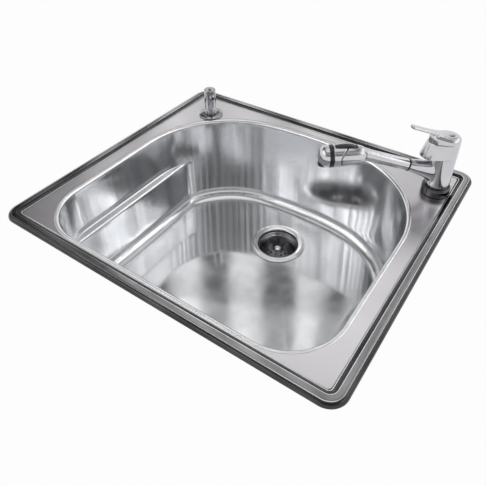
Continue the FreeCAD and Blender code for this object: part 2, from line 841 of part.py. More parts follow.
def make_basket():
    """The lift-out basket: perforated cup, rubber stopper, centre post and knob."""
    place = drain_place()
    rim = "(cup_radius - cup_wall - basket_gap)"
    top = f"({BASKET_LOW} + basket_height)"
    cup = turned("basket_turning", [
        ("post_radius + thread_gap", BASKET_LOW),
        ("basket_base_radius", BASKET_LOW),
        (f"{rim} - basket_rim", f"{top} - basket_gauge"),
        (rim, f"{top} - basket_gauge"),
        (rim, top),
        (f"{rim} - basket_rim - basket_gauge", top),
        ("basket_base_radius - basket_gauge", f"{BASKET_LOW} + basket_gauge"),
        ("post_radius + thread_gap", f"{BASKET_LOW} + basket_gauge"),
    ])
    holes = []
    for count, circle in (("outer_hole_count", "outer_hole_ring"), ("inner_hole_count", "inner_hole_ring")):
        for x, y in around(count, circle):
            holes.append(rod("basket_hole", "basket_hole_radius", "3 * basket_gauge", x, y,
                             f"{BASKET_LOW} - basket_gauge"))
    node(cut("basket_pierced", cup, holes), "basket", place)
    post_top = f"({BASKET_LOW} + post_length)"
    post = turned("post_turning", [
        ("0", WEB_TOP),
        ("post_radius", WEB_TOP),
        ("post_radius", post_top),
        ("0", post_top),
    ])
    node(post, "basket_post", place)
    knob = turned("knob_turning", [
        ("0", post_top),
        ("knob_radius - knob_height / 2", post_top),
        ("knob_radius", f"{post_top} + knob_height / 2", "knob_height / 2"),
        ("knob_radius - knob_height / 2", f"{post_top} + knob_height", "knob_height / 2"),
        ("0", f"{post_top} + knob_height"),
    ])
    node(knob, "basket_knob", place)
    stopper = turned("stopper_turning", [
        ("0", STOPPER_LOW),
        ("stopper_radius", STOPPER_LOW),
        ("stopper_radius", f"{BASKET_LOW} - stopper_web"),
        ("inner_hole_ring - 2 * basket_hole_radius", BASKET_LOW),
        ("post_radius + thread_gap", BASKET_LOW),
        ("post_radius + thread_gap", WEB_TOP),
        ("0", WEB_TOP),
    ])
    node(stopper, "basket_stopper", place)


# Mixer: levels are measured from the deck, the spout points along +X before it is turned to its heading

BASE_TOP = "(gasket_thickness + base_height)"
COLUMN_LOW = f"({BASE_TOP} + seat_gap)"
CORE_TOP = "(column_top - seat_gap)"
DOME_LOW = "(column_top + seat_gap)"
HINGE_LEVEL = "(dome_roof + hinge_rise)"
LEVER_SLOPE = "tan(lever_rise * 1deg)"
DOCK_END = "(neck_length + dock_thickness)"
WAND_START = f"({DOCK_END} + seat_gap)"
WAND_END = f"({WAND_START} + wand_length)"


def tap_place():
    turn = FreeCAD.Rotation(Vector(0, 0, 1), size("spout_heading"))
    return FreeCAD.Placement(Vector(size(TAP_X), size(TAP_Y), size("deck_top")), turn)


def spout_turn():
    """The place of the spout's axis in the mixer: its own Z runs out along the spout."""
    turn = FreeCAD.Rotation(Vector(0, 1, 0), 90 - size("spout_rise"))
    return FreeCAD.Placement(Vector(0, 0, size("spout_level")), turn)


def head_place():
    """The place of the spray head: bent down from the end of the wand, its own -X on top."""
    turn = FreeCAD.Rotation(Vector(0, 1, 0), size("head_bend"))
    return tap_place() * spout_turn() * FreeCAD.Placement(Vector(0, 0, size(WAND_END)), turn)


def make_tap_mounting():
    """What holds the mixer on the deck: gasket, base ring, core tube, and the washers and nut below."""
    place = tap_place()
    core_clear = "core_radius + thread_gap"
    gasket = ring("tap_gasket_ring", core_clear, "base_radius - base_round", "0", "gasket_thickness")
    node(gasket, "tap_gasket", place)
    base = turned("base_turning", [
        (core_clear, "gasket_thickness"),
        ("base_radius", "gasket_thickness"),
        ("base_radius", f"{BASE_TOP} - base_round"),
        ("base_radius - base_round", BASE_TOP, "base_round"),
        (core_clear, BASE_TOP),
    ])
    node(base, "tap_base_ring", place)
    shelf = "(cartridge_seat - cartridge_shelf)"
    core = turned("core_turning", [
        ("core_bore", "-core_drop"),
        ("core_radius", "-core_drop"),
        ("core_radius", CORE_TOP),
        ("core_bore", CORE_TOP),
        ("core_bore", "cartridge_seat"),
        ("core_bore - cartridge_shelf", "cartridge_seat"),
        ("core_bore - cartridge_shelf", shelf),
        ("core_bore", shelf),
    ])
    window = box("hose_window", "core_radius", "hose_window_width", "hose_window_high - hose_window_low",
                 "core_radius", "0", "hose_window_low")
    node(cut("core_windowed", core, [window]), "tap_core", place)
    under = "(-sheet_gauge)"
    rubber_low = f"({under} - rubber_thickness)"
    steel_low = f"({rubber_low} - sheet_gauge)"
    node(ring("tap_rubber_ring", core_clear, "tap_washer_radius", rubber_low, under), "tap_rubber_washer",
         place)
    node(ring("tap_steel_ring", core_clear, "tap_washer_radius", steel_low, rubber_low), "tap_steel_washer",
         place)
    nut = new_body("tap_nut_hexagon")
    hexagon = [(f"tap_nut_radius * cos({60 * side} * 1deg)", f"tap_nut_radius * sin({60 * side} * 1deg)")
               for side in range(6)]
    pad(nut, hexagon, steel_low, "tap_nut_height", down=True)
    bore = rod("tap_nut_bore", core_clear, "tap_nut_height", "0", "0", f"{steel_low} - tap_nut_height")
    node(cut("tap_nut_bored", nut, [bore]), "tap_nut", place)
    block = rod("inlet_blank", "core_bore - thread_gap", "inlet_block_height", "0", "0", "-core_drop")
    holes = [rod("hot_inlet", "inlet_radius", "inlet_block_height", "inlet_x", "inlet_y", "-core_drop"),
             rod("cold_inlet", "inlet_radius", "inlet_block_height", "inlet_x", "-inlet_y", "-core_drop"),
             rod("hose_way", "hose_hole_radius", "inlet_block_height", "hose_hole_x", "0", "-core_drop")]
    node(cut("inlet_drilled", block, holes), "inlet_block", place)


def make_tap_body():
    """The swivelling column with its conical neck, bored for the core and for the wand."""
    column = turned("column_turning", [
        ("0", COLUMN_LOW),
        ("column_foot_radius", COLUMN_LOW),
        ("column_radius", f"{COLUMN_LOW} + column_foot_height"),
        ("column_radius", "column_top"),
        ("0", "column_top"),
    ])
    neck = doc.addObject("Part::Cone", "neck_cone")
    bind(neck, Radius1="neck_root_radius", Radius2="neck_end_radius", Height="neck_length - neck_start")
    neck.Placement = spout_turn() * FreeCAD.Placement(Vector(0, 0, size("neck_start")), FreeCAD.Rotation())
    core_bore = rod("column_bore", "core_radius + run_gap", "column_top", "0", "0", "0")
    wand_bore = group("neck_bore", [rod("neck_bore_bar", "spigot_radius + run_gap", "neck_length")])
    wand_bore.Placement = spout_turn()
    body = cut("tap_column", joined("column_and_neck", [column, neck]), [core_bore, wand_bore])
    node(body, "tap_body", tap_place())
    dock = ring("dock_turning", "spigot_radius + run_gap", "dock_radius", "neck_length", DOCK_END)
    node(dock, "dock_ring", tap_place() * spout_turn())


def make_cartridge():
    """The mixing cartridge in the top of the core, the nut that holds it and the stem that turns in it."""
    place = tap_place()
    top = "(cartridge_seat + cartridge_height)"
    case = turned("cartridge_turning", [
        ("0", "cartridge_seat"),
        ("core_bore - thread_gap", "cartridge_seat"),
        ("core_bore - thread_gap", top),
        ("stem_radius + run_gap", top),
        ("stem_radius + run_gap", f"{top} - stem_depth"),
        ("0", f"{top} - stem_depth"),
    ])
    node(case, "cartridge", place)
    node(ring("cartridge_nut_ring", "stem_radius + run_gap", "core_bore - thread_gap", top, CORE_TOP),
         "cartridge_nut", place)
    stem_low = f"({top} - stem_depth + seat_gap)"
    grip_top = "(dome_roof - dome_wall)"
    stem = rod("stem_bar", "stem_radius", f"{grip_top} - {stem_low}", "0", "0", stem_low)
    node(group("stem_set", [stem]), "cartridge_stem", place)


def make_handle():
    """The oval dome that turns on the stem, and the lever hinged on its roof."""
    place = tap_place()
    dome = new_body("dome_blank")
    loft(dome, oval("dome_rear_radius", "dome_front_radius", "dome_front_x"), DOME_LOW,
         oval("dome_top_rear_radius", "dome_top_front_radius", "dome_top_front_x"), "dome_roof")
    hollow_top = "(dome_roof - dome_wall - stem_grip)"
    hollow = oval("(dome_top_rear_radius - dome_wall)", "(dome_top_front_radius - dome_wall)",
                  "dome_top_front_x")
    pocket(dome, hollow, DOME_LOW, f"{hollow_top} - {DOME_LOW}")
    ear = box("ear_block", "2 * ear_half_length", "ear_width", "hinge_rise", "hinge_x", "0", "dome_roof")
    ear_top = rod("ear_top", "ear_half_length", "ear_width", "hinge_x", "-ear_width / 2", HINGE_LEVEL, "Y")
    grip_hole = rod("grip_hole", "stem_radius + thread_gap", "dome_roof - dome_wall", "0", "0", "0")
    pin_hole = rod("ear_pin_hole", "lever_pin_radius + thread_gap", "2 * ear_width", "hinge_x", "-ear_width",
                   HINGE_LEVEL, "Y")
    dome_and_ear = joined("dome_and_ear", [dome, ear, ear_top])
    node(cut("dome_drilled", dome_and_ear, [grip_hole, pin_hole]), "handle_dome", place)
    pin = rod("pin_bar", "lever_pin_radius", "lever_pin_length", "hinge_x", "-lever_pin_length / 2",
              HINGE_LEVEL, "Y")
    node(group("pin_set", [pin]), "lever_pin", place)
    under = f"({HINGE_LEVEL} - knuckle_radius)"
    crown_z = f"(lever_top_z + (lever_back_x - lever_top_x) * {LEVER_SLOPE})"
    drop = "(lever_thickness / cos(lever_rise * 1deg))"
    front_z = f"(lever_top_z + (cap_front_x - lever_top_x) * {LEVER_SLOPE} - {drop})"
    tip_z = f"(lever_top_z + (lever_tip_x - lever_top_x) * {LEVER_SLOPE})"
    side_view = new_body("lever_side_view")
    profile = [
        ("hinge_x", under, "knuckle_radius"),
        ("cap_front_x", under),
        ("cap_front_x", front_z),
        ("lever_tip_x", f"{tip_z} - {drop}"),
        ("lever_tip_x", tip_z),
        ("lever_back_x", crown_z),
        ("hinge_x - knuckle_radius", HINGE_LEVEL, "lever_back_round"),
    ]
    pad(side_view, profile, "-dome_rear_radius", "2 * dome_rear_radius", plane="XZ_Plane")
    plan_view = new_body("lever_plan_view")
    rear = "(dome_top_rear_radius - cap_inset)"
    nose = "(dome_top_front_radius - cap_inset)"
    lean = f"asin(({rear} - {nose}) / dome_top_front_x)"
    waist = f"dome_top_front_x + sqrt({nose}^2 - lever_half_width^2)"
    plan = [
        (f"{rear} * sin({lean})", f"-{rear} * cos({lean})", rear),
        (f"dome_top_front_x + {nose} * sin({lean})", f"-{nose} * cos({lean})"),
        (waist, "-lever_half_width", nose),
        ("lever_tip_x - lever_half_width", "-lever_half_width"),
        ("lever_tip_x", "0", "lever_half_width"),
        ("lever_tip_x - lever_half_width", "lever_half_width", "lever_half_width"),
        (waist, "lever_half_width"),
        (f"dome_top_front_x + {nose} * sin({lean})", f"{nose} * cos({lean})", nose),
        (f"{rear} * sin({lean})", f"{rear} * cos({lean})"),
        (f"-{rear}", "0", rear),
    ]
    pad(plan_view, plan, under, f"{tip_z} - {under}")
    blank = doc.addObject("Part::Common", "lever_blank")
    blank.Base = side_view
    blank.Tool = plan_view
    slot_length = "2 * (ear_half_length + ear_slot_gap)"
    slot = box("ear_slot", slot_length, "ear_width + 2 * seat_gap", "ear_half_length + hinge_rise",
               "hinge_x", "0", "dome_roof + seat_gap")
    bore = rod("lever_bore", "lever_pin_radius + run_gap", "2 * dome_rear_radius", "hinge_x",
               "-dome_rear_radius", HINGE_LEVEL, "Y")
    doc.recompute()
    node(cut("lever_drilled", blank, [slot, bore]), "lever", place)


def mitre(label, base, turn, keep_above):
    """The base cut off by a plane through its origin that leans by half the head's bend."""
    side = "4 * head_front_radius"
    waste = doc.addObject("Part::Box", label + "_waste")
    bind(waste, Length=side, Width=side, Height=side)
    half = size(side) / 2
    shift = Vector(-half, -half, -2 * half if keep_above else 0)
    waste.Placement = FreeCAD.Placement(Vector(), turn) * FreeCAD.Placement(shift, FreeCAD.Rotation())
    return cut(label, base, [waste])


def make_wand():
    """The pull-out wand: a spigot that slides in the neck and a tube mitred to the spray head."""
    place = tap_place() * spout_turn()
    spigot = ring("spigot_turning", "spigot_bore", "spigot_radius", f"{DOCK_END} - spigot_guide_length",
                  f"{WAND_START} + spigot_grip_length")
    node(spigot, "wand_spigot", place)
    tube = ring("tube_turning", "spigot_radius + thread_gap", "wand_radius", "-wand_length",
                "head_bore_length")
    half_bend = FreeCAD.Rotation(Vector(0, 1, 0), size("head_bend") / 2)
    mitred = mitre("tube_mitred", tube, half_bend, False)
    end = FreeCAD.Placement(Vector(0, 0, size(WAND_END)), FreeCAD.Rotation())
    node(mitred, "wand_tube", place * end)


def make_head():
    """The spray head: rear and front shells, the dark band, the tip with its outlet, the diverter inside."""
    place = head_place()
    length = "(rocker_end - rocker_start + 2 * rocker_end_gap)"
    middle = "((rocker_start + rocker_end) / 2)"

    def window(name):
        return box(name, "head_front_radius", "rocker_width + 2 * rocker_side_gap", length,
                   "-head_bore - seat_gap - head_front_radius / 2", "0", f"{middle} - {length} / 2")

    def pin_bar(name, gap):
        return rod(name, f"rocker_pin_radius + {gap}", "rocker_pin_length", "-rocker_pin_level",
                   "-rocker_pin_length / 2", "rocker_pivot", "Y")

    rear = turned("rear_turning", [
        ("head_bore", "-head_bore_length"),
        ("wand_radius", "-head_bore_length"),
        ("wand_radius", "0"),
        ("head_shoulder_radius", "head_shoulder"),
        ("head_parting_radius", "head_parting"),
        ("head_parting_radius - head_wall", "head_parting"),
        ("head_bore + head_wall / 2", "head_bore_length"),
        ("head_bore", "head_bore_length"),
    ])
    mitred = mitre("rear_mitred", rear, FreeCAD.Rotation(Vector(0, 1, 0), -size("head_bend") / 2), True)
    node(cut("rear_windowed", mitred, [window("rear_window"), pin_bar("rear_pin_hole", "thread_gap")]),
         "head_rear_shell", place)
    front = turned("front_turning", [
        ("head_parting_radius - head_wall", "head_parting"),
        ("head_parting_radius", "head_parting"),
        ("head_front_radius", "head_front_end"),
        ("head_front_radius - head_wall", "head_front_end"),
    ])
    node(cut("front_windowed", front, [window("front_window")]), "head_front_shell", place)
    band_end = "(head_front_end + band_width)"
    node(ring("band_turning", "head_front_radius - head_wall", "band_radius", "head_front_end", band_end),
         "selector_band", place)
    tip_end = f"({band_end} + tip_length)"
    tip = turned("tip_turning", [
        ("0", band_end),
        ("head_front_radius", band_end),
        ("head_front_radius", f"{band_end} + tip_straight"),
        ("tip_nose_radius", tip_end, "tip_round"),
        ("0", tip_end),
    ])
    station = f"({band_end} + face_station)"
    flat = box("tip_flat", "head_front_radius", "4 * head_front_radius", "2 * tip_length",
               "face_flat + head_front_radius / 2", "0", band_end)
    socket = rod("tip_socket", "face_radius + thread_gap", "head_front_radius",
                 "face_level - face_thickness", "0", station, "X")
    channel = rod("tip_channel", "tip_channel_radius", "face_station", "0", "0", band_end)
    drop = rod("tip_drop", "tip_channel_radius", "face_level - face_thickness", "0", "0", station, "X")
    node(cut("tip_bored", tip, [flat, socket, channel, drop]), "spray_tip", place)
    face_back = "(face_level - face_thickness)"
    plate = rod("face_plate", "face_radius", "face_thickness", face_back, "0", station, "X")
    jets = []
    for across, along in around("face_hole_count", "face_hole_ring"):
        jets.append(rod("face_jet", "face_hole_radius", "face_thickness", face_back, across,
                        f"{station} + {along}", "X"))
    node(cut("face_pierced", plate, jets), "spray_face", place)
    diverter = turned("diverter_turning", [
        ("0", "diverter_start"),
        ("head_bore - thread_gap", "diverter_start"),
        ("head_bore - thread_gap", "head_front_end - diverter_collar"),
        ("head_front_radius - head_wall - seat_gap", "head_front_end"),
        ("head_front_radius - head_wall - seat_gap", band_end),
        ("0", band_end),
    ])
    node(diverter, "spray_diverter", place)
    node(group("rocker_pin_set", [pin_bar("rocker_pin_bar", "0")]), "rocker_pin", place)
    rocker = new_body("rocker_blank")
    side_view = [
        ("-rocker_base", "rocker_start"),
        ("-rocker_base", "rocker_end"),
        ("-rocker_front_height", "rocker_end"),
        ("-rocker_rear_height", "rocker_start", "rocker_crown"),
    ]
    pad(rocker, side_view, "-rocker_width / 2", "rocker_width", plane="XZ_Plane")
    bore = pin_bar("rocker_bore", "run_gap")
    node(cut("rocker_bored", rocker, [bore]), "spray_rocker", place)


# Soap pump: levels are measured from the deck, the nozzle points along +X before it is turned

SHANK_END = "-pump_shank_drop"


def pump_place():
    turn = FreeCAD.Rotation(Vector(0, 0, 1), size("pump_heading"))
    return FreeCAD.Placement(Vector(size(PUMP_X), size(PUMP_Y), size("deck_top")), turn)


def make_soap_pump():
    """The soap pump: fixed body through the deck, barrel, bottle below, sprung stem and turning head."""
    place = pump_place()
    barrel_clear = "barrel_radius + thread_gap"
    rosette_top = "(gasket_thickness + rosette_height)"
    body = turned("pump_body_turning", [
        (barrel_clear, SHANK_END),
        ("pump_shank_radius", SHANK_END),
        ("pump_shank_radius", "gasket_thickness"),
        ("rosette_radius", "gasket_thickness"),
        ("rosette_radius", "gasket_thickness + rosette_edge"),
        ("neck_radius + rosette_edge", rosette_top, "2 * rosette_radius"),
        ("neck_radius", rosette_top),
        ("neck_radius", "pump_neck_top"),
        (barrel_clear, "pump_neck_top"),
    ])
    node(body, "pump_body", place)
    shank_clear = "pump_shank_radius + thread_gap"
    gasket = ring("pump_gasket_ring", shank_clear, "rosette_radius - rosette_edge", "0", "gasket_thickness")
    node(gasket, "pump_gasket", place)
    washer_low = "(-sheet_gauge - pump_washer_thickness)"
    washer = ring("pump_washer_ring", shank_clear, "pump_washer_radius", washer_low, "-sheet_gauge")
    node(washer, "pump_washer", place)
    nut_low = f"{washer_low} - pump_nut_height"
    node(ring("pump_nut_ring", shank_clear, "pump_nut_radius", nut_low, washer_low), "pump_nut", place)
    barrel = turned("barrel_turning", [
        ("dip_tube_radius + thread_gap", "-barrel_drop"),
        ("barrel_radius", "-barrel_drop"),
        ("barrel_radius", "pump_neck_top"),
        ("stem_rod_radius + run_gap", "pump_neck_top"),
        ("stem_rod_radius + run_gap", "pump_neck_top - barrel_cap"),
        ("barrel_bore", "pump_neck_top - barrel_cap"),
        ("barrel_bore", "-barrel_drop + dip_tube_radius"),
        ("dip_tube_radius + thread_gap", "-barrel_drop + dip_tube_radius"),
    ])
    node(barrel, "pump_barrel", place)
    stem = turned("pump_stem_turning", [
        ("stem_rod_bore", "piston_level"),
        ("barrel_bore - run_gap", "piston_level"),
        ("barrel_bore - run_gap", "piston_level + piston_height"),
        ("stem_rod_radius", "piston_level + piston_height"),
        ("stem_rod_radius", "head_roof + stem_rod_grip"),
        ("stem_rod_bore", "head_roof + stem_rod_grip"),
    ])
    node(stem, "pump_stem", place)
    spring_low = "(-barrel_drop + dip_tube_radius)"
    coil = doc.addObject("Part::Helix", "spring_line")
    bind(coil, Radius="spring_radius - spring_wire", Height=f"piston_level - {spring_low} - 2 * spring_wire")
    bind(coil, Pitch=f"(piston_level - {spring_low} - 2 * spring_wire) / spring_turns")
    wire = doc.addObject("Part::Circle", "spring_section")
    wire.Placement = FreeCAD.Placement(Vector(size("spring_radius - spring_wire"), 0, 0), TURNS["Y"])
    bind(wire, Radius="spring_wire")
    doc.recompute()
    spring = doc.addObject("Part::Sweep", "spring_coil")
    spring.Sections = [wire]
    spring.Spine = (coil, [f"Edge{number}" for number in range(1, len(coil.Shape.Edges) + 1)])
    spring.Solid = True
    spring.Frenet = True
    lift = FreeCAD.Placement(Vector(0, 0, size(f"{spring_low} + spring_wire")), FreeCAD.Rotation())
    node(group("spring_set", [spring]), "pump_spring", place * lift)
    tube = ring("dip_turning", "dip_tube_bore", "dip_tube_radius", "-barrel_drop - dip_tube_length",
                "-barrel_drop + dip_tube_radius")
    node(tube, "dip_tube", place)
    bottle_top = f"({SHANK_END} + bottle_neck_height)"
    neck = f"({shank_clear} + 2 * bottle_wall)"
    shoulder = f"({SHANK_END} - seat_gap - bottle_wall)"
    bottom = f"({shoulder} - bottle_height)"
    bottle = turned("bottle_turning", [
        ("0", bottom),
        ("bottle_radius", bottom),
        ("bottle_radius", f"{shoulder} - bottle_shoulder"),
        (neck, shoulder),
        (neck, bottle_top),
        (shank_clear, bottle_top),
        (shank_clear, shoulder),
        ("bottle_radius - bottle_wall", f"{shoulder} - bottle_shoulder - bottle_wall"),
        ("bottle_radius - bottle_wall", f"{bottom} + bottle_wall"),
        ("0", f"{bottom} + bottle_wall"),
    ])
    node(bottle, "soap_bottle", place)
    head = turned("pump_head_turning", [
        ("head_inner_radius", "head_bottom"),
        ("head_radius", "head_bottom"),
        ("head_radius", "head_top - head_edge_round"),
        ("head_radius - head_edge_round", "head_top", "head_edge_round"),
        ("0", "head_top"),
        ("0", "head_roof"),
        ("head_inner_radius", "head_roof"),
    ])
    nozzle = rod("nozzle_bar", "nozzle_radius", "nozzle_reach", "0", "0", "nozzle_level", "X")
    way = rod("nozzle_way", "nozzle_bore", "nozzle_reach", "0", "0", "nozzle_level", "X")
    riser = rod("head_riser", "stem_rod_radius + run_gap", "stem_rod_grip", "0", "0", "head_roof")
    riser_way = rod("head_riser_way", "nozzle_bore", "nozzle_level - head_roof", "0", "0", "head_roof")
    head_and_nozzle = joined("head_and_nozzle", [head, nozzle])
    node(cut("head_bored", head_and_nozzle, [way, riser, riser_way]), "pump_head", place)


MOUTH_LINE = mouth_line()
make_sink_deck()
make_sink_bowl()
make_sound_pad()
make_fixings()
make_strainer()
make_basket()
make_tap_mounting()
make_tap_body()
make_cartridge()
make_handle()
make_wand()
make_head()
make_soap_pump()
doc.recompute()

for thing in doc.Objects:
    if "Invalid" in thing.State or "Error" in thing.State:
        raise RuntimeError(f"{thing.Label} failed: {thing.getStatusString()}")
for thing in nodes:
    if thing.Shape.isNull() or not thing.Shape.isValid():
        raise RuntimeError(f"{thing.Label} has no valid shape")
os.makedirs("parts", exist_ok=True)
for thing in nodes:
    thing.Shape.exportStep(f"parts/{thing.Label}.step")
    extent = thing.Shape.optimalBoundingBox(False)
    print(f"{thing.Label}: {len(thing.Shape.Solids)} solid, {thing.Shape.Volume:.0f} mm3,",
          f"x {extent.XMin:.1f} to {extent.XMax:.1f}, y {extent.YMin:.1f} to {extent.YMax:.1f},",
          f"z {extent.ZMin:.1f} to {extent.ZMax:.1f}")
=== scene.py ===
# %% [markdown]
# # A single bowl kitchen sink
# A drop-in sink is a pressed steel deck with a deep-drawn bowl welded into it. On the deck stand a mixer
# with a pull-out spray and a soap pump, and in the floor sits a basket strainer. The construction is loaded
# as a fixed frame in metres. This lesson dresses it: what shows is rebuilt as surfaces worked out with
# numpy, because polished metal lives from the soft edges that plain solids lack, and the hidden pieces
# keep their solids and get a finish.

# %% Load the frame
import json
import math
import bpy
import numpy as np
from mathutils import Matrix, Vector


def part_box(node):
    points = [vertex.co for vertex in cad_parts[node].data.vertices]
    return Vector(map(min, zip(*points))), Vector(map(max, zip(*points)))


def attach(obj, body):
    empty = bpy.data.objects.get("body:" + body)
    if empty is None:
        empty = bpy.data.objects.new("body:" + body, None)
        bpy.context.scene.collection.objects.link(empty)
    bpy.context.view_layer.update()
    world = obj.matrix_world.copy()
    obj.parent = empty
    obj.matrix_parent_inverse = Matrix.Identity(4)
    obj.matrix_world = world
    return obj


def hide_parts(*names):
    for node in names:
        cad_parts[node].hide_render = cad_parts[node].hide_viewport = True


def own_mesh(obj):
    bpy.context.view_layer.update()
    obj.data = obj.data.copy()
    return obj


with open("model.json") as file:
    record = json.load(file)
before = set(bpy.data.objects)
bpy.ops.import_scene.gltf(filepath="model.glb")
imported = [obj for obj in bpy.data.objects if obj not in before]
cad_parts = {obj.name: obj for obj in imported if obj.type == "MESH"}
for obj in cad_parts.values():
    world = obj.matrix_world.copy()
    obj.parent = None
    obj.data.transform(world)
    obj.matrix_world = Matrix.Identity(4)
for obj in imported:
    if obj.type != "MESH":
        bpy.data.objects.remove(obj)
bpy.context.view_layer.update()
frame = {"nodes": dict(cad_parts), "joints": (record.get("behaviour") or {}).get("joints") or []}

# %% [markdown]
# ## Finishes
# A finish on real metal is never one flat value: rolling, brushing and wiping leave the gloss slightly
# uneven. Each finish here is a Principled shader whose roughness, colour or relief is driven by noise on
# Object coordinates, so the pattern has a real size in metres and stays put when a piece moves. A finish is
# one row of a table, and one helper turns a row into a material.

# %% Helpers for finishes
NOISE_RANGE = (0.3, 0.7)


def feed(tree, socket, value):
    """Link an input to another node's output, or set it to a plain value."""
    if isinstance(value, bpy.types.NodeSocket):
        tree.links.new(value, socket)
    else:
        socket.default_value = value


def add_node(tree, kind, **inputs):
    """A shader node with some inputs fed; an underscore in an input's name stands for a space."""
    node = tree.nodes.new("ShaderNode" + kind)
    for name, value in inputs.items():
        feed(tree, node.inputs[name.replace("_", " ")], value)
    return node


def grain(tree, scale, detail, stretch=(1, 1, 1)):
    """Noise on Object coordinates, with a scale per metre and a stretch per axis."""
    place = add_node(tree, "TexCoord").outputs["Object"]
    stretched = add_node(tree, "Mapping", Vector=place, Scale=stretch).outputs["Vector"]
    return add_node(tree, "TexNoise", Vector=stretched, Scale=scale, Detail=detail).outputs["Fac"]


def vary_roughness(tree, shader, low, high, *noise):
    """Roughness between two limits, by the middle part of a noise."""
    start, end = NOISE_RANGE
    spread = add_node(tree, "MapRange", Value=grain(tree, *noise), From_Min=start, From_Max=end,
                      To_Min=low, To_Max=high)
    feed(tree, shader.inputs["Roughness"], spread.outputs["Result"])


def vary_colour(tree, shader, dark, light, *noise):
    """Base colour between two tones, by the middle part of a noise."""
    ramp = add_node(tree, "ValToRGB", Fac=grain(tree, *noise))
    for stop, position, tone in zip(ramp.color_ramp.elements, NOISE_RANGE, (dark, light)):
        stop.position = position
        stop.color = (*tone, 1)
    feed(tree, shader.inputs["Base Color"], ramp.outputs["Color"])


def add_relief(tree, shader, depth, *noise):
    """A bump of the given depth in metres on the shader's normal, over any bump that is there."""
    bump = add_node(tree, "Bump", Height=grain(tree, *noise), Distance=depth)
    for link in shader.inputs["Normal"].links:
        feed(tree, bump.inputs["Normal"], link.from_socket)
    feed(tree, shader.inputs["Normal"], bump.outputs["Normal"])


def make_finish(name, metallic, colour, roughness, gloss, tones, *reliefs):
    """A Principled material from one row of a table.

    gloss is (low, high, noise), tones is (dark, light, noise) and a relief is (depth, noise), where a noise
    is a scale, a detail and perhaps a stretch. Without a gloss the roughness stays as it is.
    """
    material = bpy.data.materials.new(name)
    material.use_nodes = True
    tree = material.node_tree
    shader = tree.nodes["Principled BSDF"]
    shader.inputs["Base Color"].default_value = (*colour, 1)
    shader.inputs["Metallic"].default_value = metallic
    shader.inputs["Roughness"].default_value = roughness
    if gloss:
        vary_roughness(tree, shader, *gloss)
    vary_colour(tree, shader, *tones)
    for relief in reliefs:
        add_relief(tree, shader, *relief)
    return material


# %% [markdown]
# ## Steel and chrome
# The deck is satin: it was brushed along its length, so its noise is stretched along X. The bowl is drawn
# from the same sheet and shows upright streaks where the sheet slid over the tool; its floor is smoother and
# painted greyer than the walls as painted shade, its outside dull. A polished rim mirrors a room as dark and
# bright lines, and as this room is white, those lines are painted on: the rolled edge, the crown and the
# step get darker steels as painted dark reflections, with polished bands between them as the bright lines.
# The fittings are chrome plate with faint wiping marks; the mixer's foot ring and the pump are painted
# darker as painted dark reflections.

# %% Metal finishes
METALS = {
    "satin_steel": ((0.79, 0.77, 0.795), 0.25, (0.23, 0.27, 12, 2, (1, 6, 6)),
                    ((0.75, 0.73, 0.755), (0.83, 0.81, 0.83), 6, 2), (0.001, 6, 1)),
    # Painted dark reflections: a grey steel for the rim's crown and a near-black one for the roll and the
    # step.
    "rim_painted_reflection_grey": ((0.32, 0.318, 0.325), 0.1, (0.1, 0.16, 60, 3),
                  ((0.28, 0.278, 0.285), (0.36, 0.358, 0.365), 14, 2)),
    "rim_painted_reflection_black": ((0.06, 0.06, 0.064), 0.12, (0.1, 0.16, 60, 3),
                   ((0.04, 0.04, 0.043), (0.08, 0.08, 0.085), 14, 2)),
    "bowl_steel": ((0.74, 0.745, 0.76), 0.18, (0.12, 0.2, 26, 3, (1, 1, 0.08)),
                   ((0.69, 0.695, 0.71), (0.79, 0.795, 0.805), 7, 2, (1, 1, 0.5)),
                   (0.0035, 8, 1.5, (1, 1, 0.12)), (0.0003, 34, 2, (1, 1, 0.05))),
    # The bowl's floor, from the same sheet as the walls, painted greyer as painted shade.
    "floor_painted_shade_steel": ((0.62, 0.63, 0.645), 0.16, (0.06, 0.13, 22, 3),
                    ((0.56, 0.57, 0.585), (0.7, 0.71, 0.725), 7, 2), (0.001, 6, 1.5)),
    # The strainer cup's steel, painted darker as painted shade in the drain's recess.
    "cup_painted_shade_steel": ((0.42, 0.415, 0.425), 0.16, (0.1, 0.24, 90, 3),
                  ((0.36, 0.355, 0.365), (0.48, 0.475, 0.485), 40, 2)),
    "chrome": ((0.58, 0.58, 0.6), 0.05, (0.1, 0.13, 70, 4),
               ((0.55, 0.55, 0.575), (0.61, 0.61, 0.625), 30, 2)),
    # Chrome painted nearly black as a painted dark reflection, for the mixer's foot ring.
    "foot_painted_dark_chrome": ((0.1, 0.1, 0.105), 0.06, (0.1, 0.14, 70, 4),
                    ((0.08, 0.08, 0.084), (0.13, 0.13, 0.135), 30, 2)),
    # The pump's chrome, painted darker than the mixer's as a painted dark reflection.
    "pump_painted_dark_chrome": ((0.4, 0.4, 0.415), 0.06, (0.1, 0.14, 80, 4),
                    ((0.37, 0.37, 0.385), (0.44, 0.44, 0.455), 34, 2)),
    "polished_steel": ((0.81, 0.81, 0.82), 0.12, (0.12, 0.2, 90, 3),
                       ((0.76, 0.76, 0.77), (0.86, 0.86, 0.865), 40, 2)),
    "plain_steel": ((0.55, 0.56, 0.57), 0.4, (0.3, 0.5, 120, 4),
                    ((0.47, 0.48, 0.50), (0.62, 0.63, 0.64), 55, 3)),
    "brass": ((0.72, 0.53, 0.27), 0.3, (0.2, 0.42, 100, 4),
              ((0.60, 0.42, 0.19), (0.78, 0.59, 0.31), 45, 3)),
}
FINISH = {name: make_finish(name, 1, *row) for name, row in METALS.items()}
print("metals", sorted(FINISH))

# %% [markdown]
# ## Plastics, rubber, putty and card
# The dark band, dock ring and button of the spray are moulded in black plastic with a fine eroded grain.
# Washers and the stopper are matt rubber. The bottle is milky and lets light through; the pump's barrel is
# white. Under the strainer flange lies a ring of putty, and above its nut a card washer.

